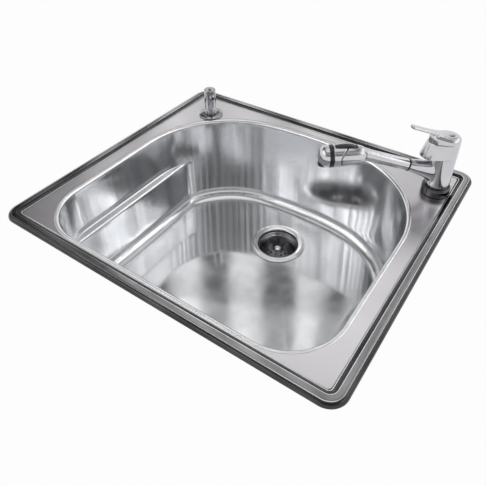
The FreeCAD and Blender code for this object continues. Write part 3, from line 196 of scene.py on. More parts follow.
# %% Other finishes
MILKY_CLEAR = 0.55
OTHERS = {
    "black_plastic": ((0.012, 0.012, 0.014), 0.3, (0.22, 0.4, 300, 3),
                      ((0.008, 0.008, 0.009), (0.018, 0.018, 0.02), 60, 2), (0.00002, 2500, 2)),
    "black_rubber": ((0.02, 0.02, 0.02), 0.75, (0.65, 0.85, 200, 3),
                     ((0.014, 0.014, 0.014), (0.03, 0.03, 0.031), 50, 3), (0.00008, 900, 3)),
    "white_plastic": ((0.80, 0.80, 0.78), 0.38, (0.3, 0.46, 150, 3),
                      ((0.76, 0.76, 0.73), (0.83, 0.83, 0.81), 35, 2)),
    "milky_plastic": ((0.86, 0.88, 0.88), 0.32, (0.26, 0.42, 90, 3),
                      ((0.82, 0.84, 0.84), (0.9, 0.92, 0.92), 25, 2)),
    "putty": ((0.62, 0.58, 0.5), 0.8, None,
              ((0.54, 0.5, 0.42), (0.68, 0.64, 0.56), 120, 4), (0.0002, 400, 3)),
    "card": ((0.55, 0.42, 0.28), 0.9, None,
             ((0.46, 0.34, 0.22), (0.62, 0.48, 0.33), 260, 5), (0.00006, 1200, 3)),
}
FINISH.update({name: make_finish(name, 0, *row) for name, row in OTHERS.items()})
milky_shader = FINISH["milky_plastic"].node_tree.nodes["Principled BSDF"]
milky_shader.inputs["Transmission Weight"].default_value = MILKY_CLEAR
print("finishes", sorted(FINISH))

# %% [markdown]
# ## From rings of points to a mesh
# Almost every piece here is round in one direction: a lathe-turned tap, an outline that runs round a bowl.
# So a piece is a stack of rings, an array of rows, columns and XYZ. One helper joins neighbouring rings
# with quads, closes the ends with fans where asked, and gives each band of rows its finish. Rings advance
# so that the visible side faces outwards: round the axis counter-clockwise, and up along the outside.

# %% Helper: rings into a piece
MM = 0.001
SHARP_ANGLE = math.radians(40)


def ring_quads(rows, columns, loop):
    """Quads (i, j), (i, j+1), (i+1, j+1), (i+1, j), wrapped round in j and, for a loop, in i too."""
    i = np.arange(rows if loop else rows - 1)[:, None]
    j = np.arange(columns)[None, :]
    below = (i + 1) % rows * columns
    beside = (j + 1) % columns
    corners = np.broadcast_arrays(i * columns + j, i * columns + beside, below + beside, below + j)
    return np.stack(corners, axis=-1).reshape(-1, 4)


def end_fan(ring, hub, forwards):
    """Triangles from a hub point to each side of a ring of point numbers."""
    after = np.roll(ring, -1)
    hubs = np.full_like(ring, hub)
    return np.stack([hubs, ring, after] if forwards else [hubs, after, ring], axis=-1)


def ring_shell(rings, loop=False, closed=False, keep=None):
    """Points and blocks of faces of a stack of rings: closed ends get a hub, keep says which quads stay."""
    rows, columns = rings.shape[:2]
    quads = ring_quads(rows, columns, loop)
    points = [rings.reshape(-1, 3)]
    faces = [quads if keep is None else quads[keep.reshape(-1)]]
    if closed:
        ring, hub = np.arange(columns), rows * columns
        faces += [end_fan(ring, hub, False), end_fan(ring + hub - columns, hub + 1, True)]
        points.append(rings[[0, -1]].mean(axis=1))
    return np.concatenate(points), faces


def add_piece(name, shell, finishes, face_finish=None):
    """A mesh object at the origin from a shell in millimetres."""
    points, faces = shell
    mesh = bpy.data.meshes.new(name)
    mesh.from_pydata((points * MM).tolist(), [], [face for block in faces for face in block.tolist()])
    for finish in finishes:
        mesh.materials.append(FINISH[finish])
    if face_finish is not None:
        mesh.polygons.foreach_set("material_index", face_finish.astype(np.int32))
    mesh.polygons.foreach_set("use_smooth", np.ones(len(mesh.polygons), dtype=bool))
    mesh.set_sharp_from_angle(angle=SHARP_ANGLE)
    mesh.validate()
    piece = bpy.data.objects.new(name, mesh)
    bpy.context.scene.collection.objects.link(piece)
    return piece


# %% [markdown]
# ## Outlines of the pressing
# The rim is a rectangle with round corners. The bowl's mouth has straight sides, two tight front corners,
# two wide back corners and a bowed back. Both are arcs joined by tangent straight sides, so one station is
# enough to describe a spot: the arc's centre and radius, and the angle of the outline's normal. Growing or
# shrinking the outline is then only a change of radius, which keeps every offset exact.

# %% Outlines of the rim and the mouth
WIDTH, DEPTH, CORNER = 635.0, 559.0, 28.0
MOUTH_SIDE, MOUTH_FRONT, MOUTH_BACK = 264.0, 247.0, 232.0
FRONT_RADIUS, BACK_RADIUS, BOW_RADIUS = 88.0, 190.0, 700.0
RIM_STATIONS, MOUTH_STATIONS = (16, 18), (34, 12)
SHORTEST_SIDE = 1.0


def points_of(*coordinates):
    """One array of points from their coordinates, which are spread to a common shape."""
    return np.stack(np.broadcast_arrays(*coordinates), axis=-1)


def outline(stations, grow=0.0):
    """Points of the outline grown by an offset: centre + (radius + grow) * (cos a, sin a)."""
    x, y, radius, turn = stations.T
    return points_of(x + (radius + grow) * np.cos(turn), y + (radius + grow) * np.sin(turn))


def stations_round(arcs, per_arc, per_side):
    """Stations (centre x, centre y, radius, normal angle) round an outline of arcs.

    An arc is (centre x, centre y, radius, first angle, last angle). On the straight side between two arcs
    the centre and the radius slide from one arc's to the next one's while the normal stays.
    """
    parts = []
    for arc, after in zip(arcs, arcs[1:] + arcs[:1]):
        turn = np.radians(np.linspace(*arc[3:], per_arc))
        parts.append(points_of(*arc[:3], turn))
        start, end = parts[-1][-1], np.array([*after[:3], turn[-1]])
        here, there = outline(np.stack([start, end]))
        if np.linalg.norm(there - here) > SHORTEST_SIDE:
            share = np.linspace(0, 1, per_side + 2)[1:-1, None]
            parts.append(start + share * (end - start))
    return np.concatenate(parts)


def bearings_of(stations):
    """The direction of each station from the origin, as one steadily growing angle."""
    spots = outline(stations)
    return np.unwrap(np.arctan2(spots[:, 1], spots[:, 0]))


def stations_at(stations, bearings):
    """The outline's stations at other bearings, found between its own."""
    own = bearings_of(stations)
    own = np.append(own, own[0] + 2 * np.pi)
    full = np.vstack([stations, stations[0] + np.array([0, 0, 0, 2 * np.pi])])
    wanted = own[0] + np.mod(bearings - own[0], 2 * np.pi)
    return np.stack([np.interp(wanted, own, column) for column in full.T], axis=-1)


def rectangle_stations(width, depth, radius):
    """A rectangle about the origin with round corners, counter-clockwise from the back right one."""
    x, y = width / 2 - radius, depth / 2 - radius
    arcs = [(x, y, radius, 0, 90), (-x, y, radius, 90, 180),
            (-x, -y, radius, 180, 270), (x, -y, radius, 270, 360)]
    return stations_round(arcs, *RIM_STATIONS)


def mouth_arcs():
    """The five arcs of the bowl's mouth: the bow's centre lies where both back corners touch it."""
    corner_x = MOUTH_SIDE - BACK_RADIUS
    bow_y = MOUTH_BACK - BOW_RADIUS
    corner_y = bow_y + math.sqrt((BOW_RADIUS - BACK_RADIUS) ** 2 - corner_x ** 2)
    touch = math.degrees(math.atan2(corner_y - bow_y, corner_x))
    front_x, front_y = MOUTH_SIDE - FRONT_RADIUS, FRONT_RADIUS - MOUTH_FRONT
    return [(corner_x, corner_y, BACK_RADIUS, 0, touch),
            (0, bow_y, BOW_RADIUS, touch, 180 - touch),
            (-corner_x, corner_y, BACK_RADIUS, 180 - touch, 180),
            (-front_x, front_y, FRONT_RADIUS, 180, 270),
            (front_x, front_y, FRONT_RADIUS, 270, 360)]


rim_own = rectangle_stations(WIDTH, DEPTH, CORNER)
mouth_own = stations_round(mouth_arcs(), *MOUTH_STATIONS)
bearings = np.concatenate([bearings_of(rim_own), bearings_of(mouth_own)])
bearings = np.unique(np.round(np.mod(bearings, 2 * np.pi), 3))
rim_line = stations_at(rim_own, bearings)
mouth_line = stations_at(mouth_own, bearings)
print("columns round the sink", len(bearings))

# %% [markdown]
# ## The deck
# Seen in section, the deck starts at the lip on the worktop, rolls over into a raised rim band, steps down
# in a soft S and runs flat to the seam of the bowl. A bevelled box could stand in, but the rolled edge and
# the step are what draw the bright and dark lines round a steel sink, so they are curves of their real size
# and each band of rows has its finish: the dark lines on them are painted dark reflections in darker steel.
# The step lies far enough inwards to clear the rails under the rim.

# %% Deck
GAUGE, DECK_TOP, RIM_TOP, LIP = 1.2, 3.0, 7.2, 0.5
RIM_ROLL, STEP_START, STEP_END, SEAM = 6.5, 16.5, 23.0, 8.0
ROLL_ROWS, STEP_ROWS = 9, 11
CROWN_SHARES = np.array([0.25, 0.6, 0.78, 0.88])
FLAT_SHARES = np.array([0.03, 0.15, 0.35, 0.55, 0.75, 0.9, 1.0])
# Finish by inset across the rim: the near-black and grey bands are painted dark reflections, and the
# polished bands between them show as the bright lines.
RIM_BANDS = {5.2: "rim_painted_reflection_black", 6.6: "polished_steel", 14.0: "rim_painted_reflection_grey", 15.0: "polished_steel",
             21.6: "rim_painted_reflection_black", 23.1: "polished_steel"}


def quarter(count):
    """Angles of a quarter turn."""
    return np.linspace(0, np.pi / 2, count)


def smooth_step(share):
    """3 s^2 - 2 s^3: starts and ends level."""
    share = np.clip(share, 0, 1)
    return share * share * (3 - 2 * share)


def at_levels(flat, levels):
    """Rows of plan points (rows, columns, 2) with one level per row."""
    return points_of(flat[..., 0], flat[..., 1], np.asarray(levels, float)[:, None])


def rim_section():
    """Inset and level of the rim from the lip inwards: roll of a quarter ellipse, crown, S-shaped step."""
    turn = quarter(ROLL_ROWS)
    step = np.linspace(0, 1, STEP_ROWS)
    parts = [([0], 0),
             (RIM_ROLL * (1 - np.cos(turn)), LIP + (RIM_TOP - LIP) * np.sin(turn)),
             (RIM_ROLL + CROWN_SHARES * (STEP_START - RIM_ROLL), RIM_TOP),
             (STEP_START + step * (STEP_END - STEP_START),
              RIM_TOP - (RIM_TOP - DECK_TOP) * smooth_step(step))]
    return np.concatenate([points_of(*part) for part in parts]).T


def thicken(piece, thickness, inner_finish=0):
    """A wall behind the visible surface, by a Solidify modifier."""
    wall = piece.modifiers.new("wall", "SOLIDIFY")
    wall.thickness = thickness * MM
    wall.offset = -1
    wall.use_even_offset = True
    wall.material_offset = inner_finish
    wall.material_offset_rim = inner_finish


inset, level = rim_section()
rim = at_levels(np.stack([outline(rim_line, -amount) for amount in inset]), level)
inner = outline(rim_line, -STEP_END)
flat = inner + FLAT_SHARES[:, None, None] * (outline(mouth_line, SEAM) - inner)
rings = np.concatenate([rim, at_levels(flat, np.full(len(flat), DECK_TOP))])
band = np.digitize((inset[1:] + inset[:-1]) / 2, list(RIM_BANDS))
row_names = [list(RIM_BANDS.values())[number] for number in band]
# The first flat row is a thin painted dark line at the foot of the step.
row_names += ["rim_painted_reflection_black"] + ["satin_steel"] * (len(flat) - 1)
finishes = ["satin_steel", "rim_painted_reflection_grey", "rim_painted_reflection_black", "polished_steel"]
row_finish = np.array([finishes.index(name) for name in row_names])
deck = add_piece("deck_skin", ring_shell(rings), finishes, np.repeat(row_finish, len(bearings)))
thicken(deck, GAUGE)
print("deck", len(rings), "rings of", len(bearings))

# %% [markdown]
# ## The bowl
# The bowl is drawn from one sheet: the mouth rolls over a 6 mm edge, the walls lean in by a degree and a
# half, each side carries a ledge, and the floor turns up in a wide fillet. All of that is one formula: a
# row has an offset of the mouth outline, a level and a greatest half width. Below the ledge the half width
# clips the round outline with a soft minimum, which leaves the upright crease that such bowls show. The
# floor falls gently to a flat seat round the drain.

# %% Bowl
MOUTH_ROLL, DRAFT = 6.0, math.tan(math.radians(1.5))
OPEN_WIDTH = 2 * MOUTH_SIDE
LEDGE_LEVEL, LEDGE_SIDE, LEDGE_ROUND, LEDGE_FALL = -88.5, 246.0, 6.0, 1.2
WALL_ROWS, FILLET_ROWS, BELOW_LEDGE = 9, 12, 6.0
UPPER_WALL = np.linspace(-7, LEDGE_LEVEL + 14, WALL_ROWS)
ABOVE_LEDGE, BESIDE_LEDGE = np.array([11, 9, 7.5]), np.array([14, 6, 2])
FLOOR, FLOOR_ROUND, FLOOR_FALL = -200.0, 25.0, 1.4
DRAIN_SEAT, DRAIN_HOLE, CLIP_SOFTNESS = 54.0, 46.0, 2.0
MOUTH_ROWS, FLOOR_ROWS = 10, 15


def plan_centre(node):
    """The middle of a node in plan, in millimetres."""
    low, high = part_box(node)
    return (low.x + high.x) / 2 / MM, (low.y + high.y) / 2 / MM


def soft_minimum(value, limit, softness):
    """The smaller of two values with a rounded change: -k ln(exp(-value/k) + exp(-limit/k))."""
    return -softness * np.logaddexp(-value / softness, -limit / softness)


def drafted(level, width):
    """Offset, level and half width of wall rows that lean in with depth."""
    return -(DECK_TOP - level) * DRAFT, level, width


def wall_section():
    """Offset, level and half width of each row, from the seam down to the end of the floor's fillet."""
    dip, run = 1 - np.cos(quarter(ROLL_ROWS)), 1 - np.sin(quarter(ROLL_ROWS))
    ledge_top = MOUTH_SIDE - (DECK_TOP - LEDGE_LEVEL) * DRAFT
    ledge_end = LEDGE_LEVEL - LEDGE_FALL
    foot = FLOOR + FLOOR_FALL + FLOOR_ROUND
    upper = np.append(UPPER_WALL, LEDGE_LEVEL + ABOVE_LEDGE)
    upper_width = np.append(np.full(WALL_ROWS, OPEN_WIDTH), ledge_top + BESIDE_LEDGE)
    lower = np.linspace(ledge_end - LEDGE_ROUND - BELOW_LEDGE, foot, WALL_ROWS)
    lower_width = LEDGE_SIDE - (ledge_end - LEDGE_ROUND - lower) * DRAFT
    turn = quarter(FILLET_ROWS)[1:]
    inward = FLOOR_ROUND * (1 - np.cos(turn))
    parts = [([SEAM], DECK_TOP, OPEN_WIDTH),
             (MOUTH_ROLL * run, DECK_TOP - MOUTH_ROLL * dip, OPEN_WIDTH),
             drafted(upper, upper_width),
             drafted(LEDGE_LEVEL + LEDGE_ROUND * run, ledge_top - LEDGE_ROUND * dip),
             drafted(ledge_end - LEDGE_ROUND * dip, LEDGE_SIDE + LEDGE_ROUND * run),
             drafted(lower, lower_width),
             (-(DECK_TOP - foot) * DRAFT - inward, foot - FLOOR_ROUND * np.sin(turn),
              lower_width[-1] - inward)]
    return np.concatenate([points_of(*part) for part in parts]).T


def bowl_rings(drain):
    """Wall rings from the section, floor rings that shrink to the seat, and one ring for the hole."""
    grow, level, width = wall_section()
    flat = np.stack([outline(mouth_line, amount) for amount in grow])
    clipped = soft_minimum(np.abs(flat[..., 0]), width[:, None], CLIP_SOFTNESS)
    flat[..., 0] = np.sign(flat[..., 0]) * clipped
    foot = flat[-1]
    outward = (foot - drain) / np.linalg.norm(foot - drain, axis=1, keepdims=True)
    share = np.linspace(0, 1, FLOOR_ROWS)[1:]
    floor = foot + share[:, None, None] * (drain + DRAIN_SEAT * outward - foot)
    floor = at_levels(floor, FLOOR + FLOOR_FALL * (1 - smooth_step(share)))
    hole = at_levels((drain + DRAIN_HOLE * outward)[None], [FLOOR])
    return np.concatenate([at_levels(flat, level), floor, hole])


def fit_piece(piece, body, slot, *nodes):
    """Let a piece ride on a body and stand for its nodes; the slot is not used."""
    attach(piece, body)
    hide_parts(*nodes)
    print(piece.name, len(piece.data.polygons), "faces, on", body)
    return piece


DRAIN = np.array(plan_centre("strainer_cup"))
rings = bowl_rings(DRAIN)
row = np.arange(len(rings) - 1)
# Bands of the bowl: mouth rows polished, floor rows in the steel painted greyer as painted shade.
bands = np.select([row < MOUTH_ROWS, row >= len(row) - FLOOR_ROWS], [1, 2], 0)
finishes = ["bowl_steel", "polished_steel", "floor_painted_shade_steel", "plain_steel"]
bowl = add_piece("bowl_skin", ring_shell(rings), finishes, np.repeat(bands, len(bearings)))
thicken(bowl, GAUGE, finishes.index("plain_steel"))
fit_piece(bowl, "sink", "satin_steel", "sink_bowl")

# %% [markdown]
# ## Turned pieces
# Strainer, tap and pump are mostly turned. A profile of (radius, height) corners with a rounding at each
# corner is carried round an axis. Real turned and polished parts have no knife edges, so even small corners
# get an arc: it is this arc that shows as a thin bright line.

# %% Helpers: rounded profile and lathe
COLUMNS, FEW_COLUMNS = 96, 48


def corner_arc(before, corner, after, radius, steps):
    """Points of the arc of a radius that touches both sides of a corner; the corner itself for radius 0."""
    if radius == 0:
        return corner[None]
    back, ahead = before - corner, after - corner
    back, ahead = back / np.linalg.norm(back), ahead / np.linalg.norm(ahead)
    half = math.acos(np.clip(back @ ahead, -1, 1)) / 2
    middle = (back + ahead) / np.linalg.norm(back + ahead)
    centre = corner + middle * radius / math.sin(half)
    reach = radius / math.tan(half)
    first, last = corner + back * reach - centre, corner + ahead * reach - centre
    share = np.linspace(0, 1, steps)[:, None]
    spread = np.pi - 2 * half
    return centre + (first * np.sin((1 - share) * spread) + last * np.sin(share * spread)) / math.sin(spread)


def rounded(corners, loop, steps=7):
    """A profile from (radius, height, rounding) corners; the ends of an open profile stay as they are."""
    spots = np.array([corner[:2] for corner in corners], float)
    count = len(corners)
    parts = []
    for number, corner in enumerate(corners):
        end = not loop and number in (0, count - 1)
        radius = 0 if end or len(corner) < 3 else corner[2]
        after = spots[(number + 1) % count]
        parts.append(corner_arc(spots[number - 1], spots[number], after, radius, steps))
    return np.concatenate(parts)


def full_turn(columns):
    """Angles all round, without the last one, which is the first again."""
    return np.linspace(0, 2 * np.pi, columns, endpoint=False)


def round_axis(radius, turn, height):
    """Points round the Z axis: (r cos a, r sin a, z)."""
    return points_of(radius * np.cos(turn), radius * np.sin(turn), height)


def lathe(profile, columns=COLUMNS):
    """Turn a profile of (radius, height) about Z."""
    return round_axis(profile[:, :1], full_turn(columns), profile[:, 1:])


def set_at(points, origin, heading=0.0):
    """Turn points about Z by a heading in radians and move them to an origin."""
    c, s = math.cos(heading), math.sin(heading)
    x, y, z = np.moveaxis(points, -1, 0)
    return points_of(c * x - s * y, s * x + c * y, z) + origin


def turned(corners, carry, *place, loop=True, columns=COLUMNS, steps=7):
    """The shell of a turned piece, carried to its place: a closed profile, or an open one closed by hubs."""
    rings = carry(lathe(rounded(corners, loop, steps), columns), *place)
    return ring_shell(rings, loop=loop, closed=not loop)


# %% [markdown]
# ## Holes in the deck
# The mixer and the pump stand over holes punched through the deck. A grid that runs round the bowl has no
# rows that would follow such a hole, so it is cut as in the press: a turned plug is taken away from the
# finished sheet by a Boolean, and the result becomes the mesh.

# %% Punch the holes
PLUG_LOW, PLUG_HIGH = -5.0, 10.0
HOLE_RADIUS = {"tap_base_ring": 17.5, "pump_body": 16.0}


def punch(piece, node, radius):
    """Cut a round hole through a piece under a node, and keep the cut mesh instead of the modifiers."""
    wall = [(radius, PLUG_LOW), (radius, PLUG_HIGH)]
    plug_shell = turned(wall, set_at, (*plan_centre(node), 0), loop=False, columns=FEW_COLUMNS)
    plug = add_piece("plug", plug_shell, [])
    hole = piece.modifiers.new("hole", "BOOLEAN")
    hole.object = plug
    hole.solver = "EXACT"
    bpy.context.view_layer.update()
    cut = piece.evaluated_get(bpy.context.evaluated_depsgraph_get())
    piece.data = bpy.data.meshes.new_from_object(cut)
    piece.data.set_sharp_from_angle(angle=SHARP_ANGLE)
    piece.modifiers.clear()
    bpy.data.objects.remove(plug)


for node, radius in HOLE_RADIUS.items():
    punch(deck, node, radius)
fit_piece(deck, "sink", "satin_steel", "sink_deck")

# %% [markdown]
# ## The strainer
# The flange lies on the floor over a ring of putty and rolls down into the cup, whose wall carries three
# shallow rings; the basket hangs in it with a knob to lift it by. Flange, cup and knob are turned with soft
# edges. The inside of the cup is painted darker than the flange as painted shade in the recess. The basket
# keeps its own solid, because its pierced base is already right, and gets the cup's painted-shade finish
# further below.

# %% Strainer cup and knob
CUP_BORE, CUP_INSIDE, CUP_GROOVES = 42.6, 43.7, (-6.0, -10.5, -15.0)
GROOVE = [(CUP_BORE, 0, 0.3), (43.5, -0.6, 0.3), (43.5, -1.4, 0.3), (CUP_BORE, -2.6, 0.3)]
strainer_place = (*DRAIN, FLOOR)


def dress(name, shell, finish, body, slot, node):
    """A piece of one finish that stands for one node."""
    return fit_piece(add_piece(name, shell, [finish]), body, slot, node)


grooves = [(radius, top + drop, soft) for top in CUP_GROOVES for radius, drop, soft in GROOVE]
cup_profile = rounded([
    (24, -80), (24, -58, 1), (44, -58, 4), (44, 0.8), (57, 0.8, 0.3), (57, 1.9, 0.8), (50, 3.0, 4),
    (CUP_BORE, 1.2, 3.2), *grooves, (CUP_BORE, -56.5, 3), (19, -56.5, 1), (19, -80),
], loop=True)
cup_shell = ring_shell(set_at(lathe(cup_profile), strainer_place), loop=True)
# Faces inside the cup's bore below the floor get the darker steel: painted shade in the recess.
inside = np.repeat((cup_profile[:, 1] < 0) & (cup_profile[:, 0] < CUP_INSIDE), COLUMNS)
cup = add_piece("strainer_flange", cup_shell, ["polished_steel", "cup_painted_shade_steel"], inside)
fit_piece(cup, "sink", "polished_steel", "strainer_cup")
knob_shell = turned([
    (0.4, -19.2), (5.0, -19.2, 0.6), (4.4, -16.6, 1.4), (7.0, -14.2, 1.2), (7.0, -12.6, 1.4),
    (3.0, -11.2, 2), (0.4, -11.2),
], set_at, strainer_place, loop=False, columns=FEW_COLUMNS)
dress("lift_knob", knob_shell, "polished_steel", "basket", "polished_steel", "basket_knob")

# %% [markdown]
# ## The mixer's foot and column
# The column is a turned barrel on a foot ring of chrome painted nearly black, a painted dark reflection.
# Where it stands and which way its spray points is read from the frame, so every piece of the mixer is drawn
# about its own upright axis, with X towards the spray, and one helper carries it to its place.

# %% Mixer frame and column
COLUMN_RADIUS, COLUMN_TOP = 21.0, 78.0
tap_origin = np.array([*plan_centre("tap_base_ring"), DECK_TOP])
pull = next(joint for joint in frame["joints"] if joint["name"] == "spray_pull")
HEADING = math.atan2(pull["axis"][1], pull["axis"][0])
RISE = math.asin(pull["axis"][2] / math.hypot(*pull["axis"]))
print("mixer at", tap_origin, "heading", math.degrees(HEADING), "rise", math.degrees(RISE))


def on_mixer(points):
    """Carry points from the mixer's own directions to its place on the deck."""
    return set_at(points, tap_origin, HEADING)


foot_shell = turned([(15.2, 1), (24.5, 1, 0.6), (24.5, 15, 3), (15.2, 15)], on_mixer)
# The foot ring is chrome painted nearly black, a painted dark reflection.
dress("foot_ring", foot_shell, "foot_painted_dark_chrome", "sink", "chrome", "tap_base_ring")
column_shell = turned([
    (15.4, 15.4), (19.4, 15.4, 0.8), (COLUMN_RADIUS, 23, 14), (COLUMN_RADIUS, COLUMN_TOP, 0.7),
    (15.4, COLUMN_TOP),
], on_mixer, steps=9)

# %% [markdown]
# ## The neck
# From the column's side a conical neck rises towards the bowl. Casting and grinding make the two flow into
# each other, so the neck is not a cone pushed into a cylinder: each of its lines starts on the column,
# tangent to it, and ends along the neck's axis. A Hermite curve does that. Column and neck are one piece,
# because they swivel together.

# %% Neck
SPOUT_LEVEL, NECK_END, NECK_END_RADIUS = 41.0, 60.8, 10.5
ROOT_HALF_WIDTH, ROOT_HALF_HEIGHT, ROOT_LEVEL, ROOT_RADIUS = 17.5, 21.5, 47.0, 20.6
ROOT_PULL, END_PULL, END_TAPER = 15.0, 40.0, 0.2
spout_start = np.array([0, 0, SPOUT_LEVEL])


def on_axis(points, start, rise):
    """Carry turned points onto an axis in the mixer's upright plane: x runs to the underside, z along it."""
    under = np.array([math.sin(rise), 0, -math.cos(rise)])
    side = np.array([0, 1, 0])
    axis = np.array([math.cos(rise), 0, math.sin(rise)])
    return start + points[..., :1] * under + points[..., 1:2] * side + points[..., 2:] * axis


def neck_rings(rows=28):
    """Hermite lines from a footprint on the column to the end ring.

    The footprint has the azimuth w sin f / R and the level z - h cos f, for f all round.
    """
    turn = full_turn(COLUMNS)
    azimuth = ROOT_HALF_WIDTH / ROOT_RADIUS * np.sin(turn)
    root = round_axis(ROOT_RADIUS, azimuth, ROOT_LEVEL - ROOT_HALF_HEIGHT * np.cos(turn))
    aside = ROOT_HALF_WIDTH * np.sin(turn)
    leave = points_of(aside * np.sin(azimuth), -aside * np.cos(azimuth), ROOT_HALF_HEIGHT * np.cos(turn))
    leave = ROOT_PULL * leave / np.linalg.norm(leave, axis=1, keepdims=True)
    ring = round_axis(NECK_END_RADIUS, turn, NECK_END)
    end = on_axis(ring, spout_start, RISE)
    taper = ring / NECK_END_RADIUS * [-END_TAPER, -END_TAPER, 0] + [0, 0, 1]
    arrive = END_PULL * on_axis(taper, np.zeros(3), RISE)
    u = np.linspace(0, 1, rows)[:, None, None]
    return ((2 * u ** 3 - 3 * u ** 2 + 1) * root + (u ** 3 - 2 * u ** 2 + u) * leave
            + (3 * u ** 2 - 2 * u ** 3) * end + (u ** 3 - u ** 2) * arrive)


def joined(*shells):
    """Several shells as one: their points in a row, their faces counted on."""
    starts = np.cumsum([0] + [len(points) for points, faces in shells])
    faces = [block + start for (points, own), start in zip(shells, starts) for block in own]
    return np.concatenate([points for points, own in shells]), faces


neck_shell = ring_shell(on_mixer(neck_rings()))
dress("tap_column", joined(column_shell, neck_shell), "chrome", "spout", "chrome", "tap_body")

# %% [markdown]
# ## The dock ring and the wand
# A black ring marks where the wand docks on the neck. The wand is a plain tube that ends in a mitre where
# the spray head bends down: on a mitre the length of each line depends on how far it lies to the underside.

# %% Dock ring and wand tube
HEAD_BEND = math.radians(18)
WAND_START, WAND_END, WAND_RADIUS, WAND_BORE = 63.6, 141.6, 10.3, 8.1
MITRE = math.tan(HEAD_BEND / 2)


def on_spout(points):
    """Carry points from the neck's own axis to its place on the mixer."""
    return on_mixer(on_axis(points, spout_start, RISE))


def on_wand(tube):
    """Cut a tube's far end by the mitre, s = end - x tan(bend / 2) with x to the underside."""
    far = tube[..., 2] > (WAND_START + WAND_END) / 2
    tube[..., 2] -= np.where(far, tube[..., 0] * MITRE, 0)
    return on_spout(tube)


dock_shell = turned([(8.2, 60.9), (11, 60.9, 0.5), (11, 63.3, 0.5), (8.2, 63.3)], on_spout)
dress("dock_seal", dock_shell, "black_plastic", "spout", "black_plastic", "dock_ring")
wand_shell = turned([(WAND_BORE, WAND_START), (WAND_RADIUS, WAND_START, 0.5), (WAND_RADIUS, WAND_END),
                     (WAND_BORE, WAND_END)], on_wand)
dress("wand_sleeve", wand_shell, "chrome", "wand", "chrome", "wand_tube")

# %% [markdown]
# ## The spray head's shells
# The head swells from the wand to a full barrel. Its rear and front shells meet in a wavy parting line, and
# a long window on top leaves room for the button. The shells are grids whose columns follow the window's
# edges, so the window is left open by leaving out quads, and the wall behind the edge is black like the
# core inside.

# %% Head shells
HEAD_FRONT_END = 55.5
BARREL_START, BARREL_SWELL, SWELL_LENGTH, BARREL_SLOPE = 10.5, 7.0, 6.5, 0.026
PARTING, PARTING_WAVE, PARTING_GAP = 37.5, 6.5, 0.9
WINDOW_START, WINDOW_END, WINDOW_HALF = 15.2, 52.8, 5.4
WINDOW_COLUMNS, SIDE_COLUMNS, SHELL_WALL = 12, 84, 1.8
MITRE_ROWS, REAR_ROWS, FRONT_ROWS = 14, 13, 11
head_start = on_axis(np.array([0, 0, WAND_END]), spout_start, RISE)


def on_head(points):
    """Carry points from the head's own axis to its place on the mixer."""
    return on_mixer(on_axis(points, head_start, RISE - HEAD_BEND))


def head_radius(t):
    """The barrel swells fast and then slowly: start + swell (1 - exp(-t / length)) + slope t."""
    t = np.maximum(t, 0)
    return BARREL_START + BARREL_SWELL * (1 - np.exp(-t / SWELL_LENGTH)) + BARREL_SLOPE * t


def head_columns(t):
    """Angles from the underside, for rows of stations t: the first columns span the window's two edges."""
    edge = np.arcsin(WINDOW_HALF / head_radius(t))[:, None]
    window = np.linspace(-1, 1, WINDOW_COLUMNS + 1)
    beside = np.linspace(0, 1, SIDE_COLUMNS + 1)[1:-1]
    return np.concatenate([np.pi + edge * window, np.pi + edge + beside * (2 * np.pi - 2 * edge)], axis=1)


def head_rows(share, start, end, start_wave=np.zeros_like, end_wave=np.zeros_like):
    """Rows of the barrel between two stations, each of which a wave of the angle may move."""
    turn = head_columns(start + share * (end - start))
    first = start + start_wave(turn)
    stations = first + share[:, None] * (end + end_wave(turn) - first)
    return round_axis(head_radius(stations), turn, stations)


def mitre_wave(turn):
    """The mitre at the wand: r cos a tan(bend / 2)."""
    return WAND_RADIUS * np.cos(turn) * MITRE


def parting_wave(gap):
    """The parting line with a gap to one shell's side: -wave cos 2a + gap."""
    return lambda turn: -PARTING_WAVE * np.cos(2 * turn) + gap


def head_shell(name, rings, open_rows, node):
    """A shell with a black wall behind it, left open at some rows of the window's columns."""
    keep = np.ones((len(rings) - 1, rings.shape[1]), dtype=bool)
    keep[open_rows, :WINDOW_COLUMNS] = False
    shell = add_piece(name, ring_shell(on_head(rings), keep=keep), ["chrome", "black_plastic"])
    thicken(shell, SHELL_WALL, inner_finish=1)
    fit_piece(shell, "wand", "chrome", node)


rear = np.concatenate([
    head_rows(np.linspace(0, 1, MITRE_ROWS), 0.0, WINDOW_START, start_wave=mitre_wave),
    head_rows(np.linspace(0, 1, REAR_ROWS)[1:], WINDOW_START, PARTING,
              end_wave=parting_wave(-PARTING_GAP))])
front = np.concatenate([
    head_rows(np.linspace(0, 1, FRONT_ROWS), PARTING, WINDOW_END, start_wave=parting_wave(PARTING_GAP)),
    head_rows(np.array([0.5, 1.0]), WINDOW_END, HEAD_FRONT_END)])
head_shell("rear_shell", rear, slice(MITRE_ROWS - 1, None), "head_rear_shell")
head_shell("front_shell", front, slice(0, FRONT_ROWS - 1), "head_front_shell")

# %% [markdown]
# ## Band, tip and button
# A black band closes the barrel. The tip is moulded as a blunt dome and flat underneath where the water
# leaves; a sphere would look pointed, so the dome is a superellipse, and a soft minimum keeps the edge of
# the flat round. The button is a rounded bar that is crowned in the middle, so a thumb can rock it.

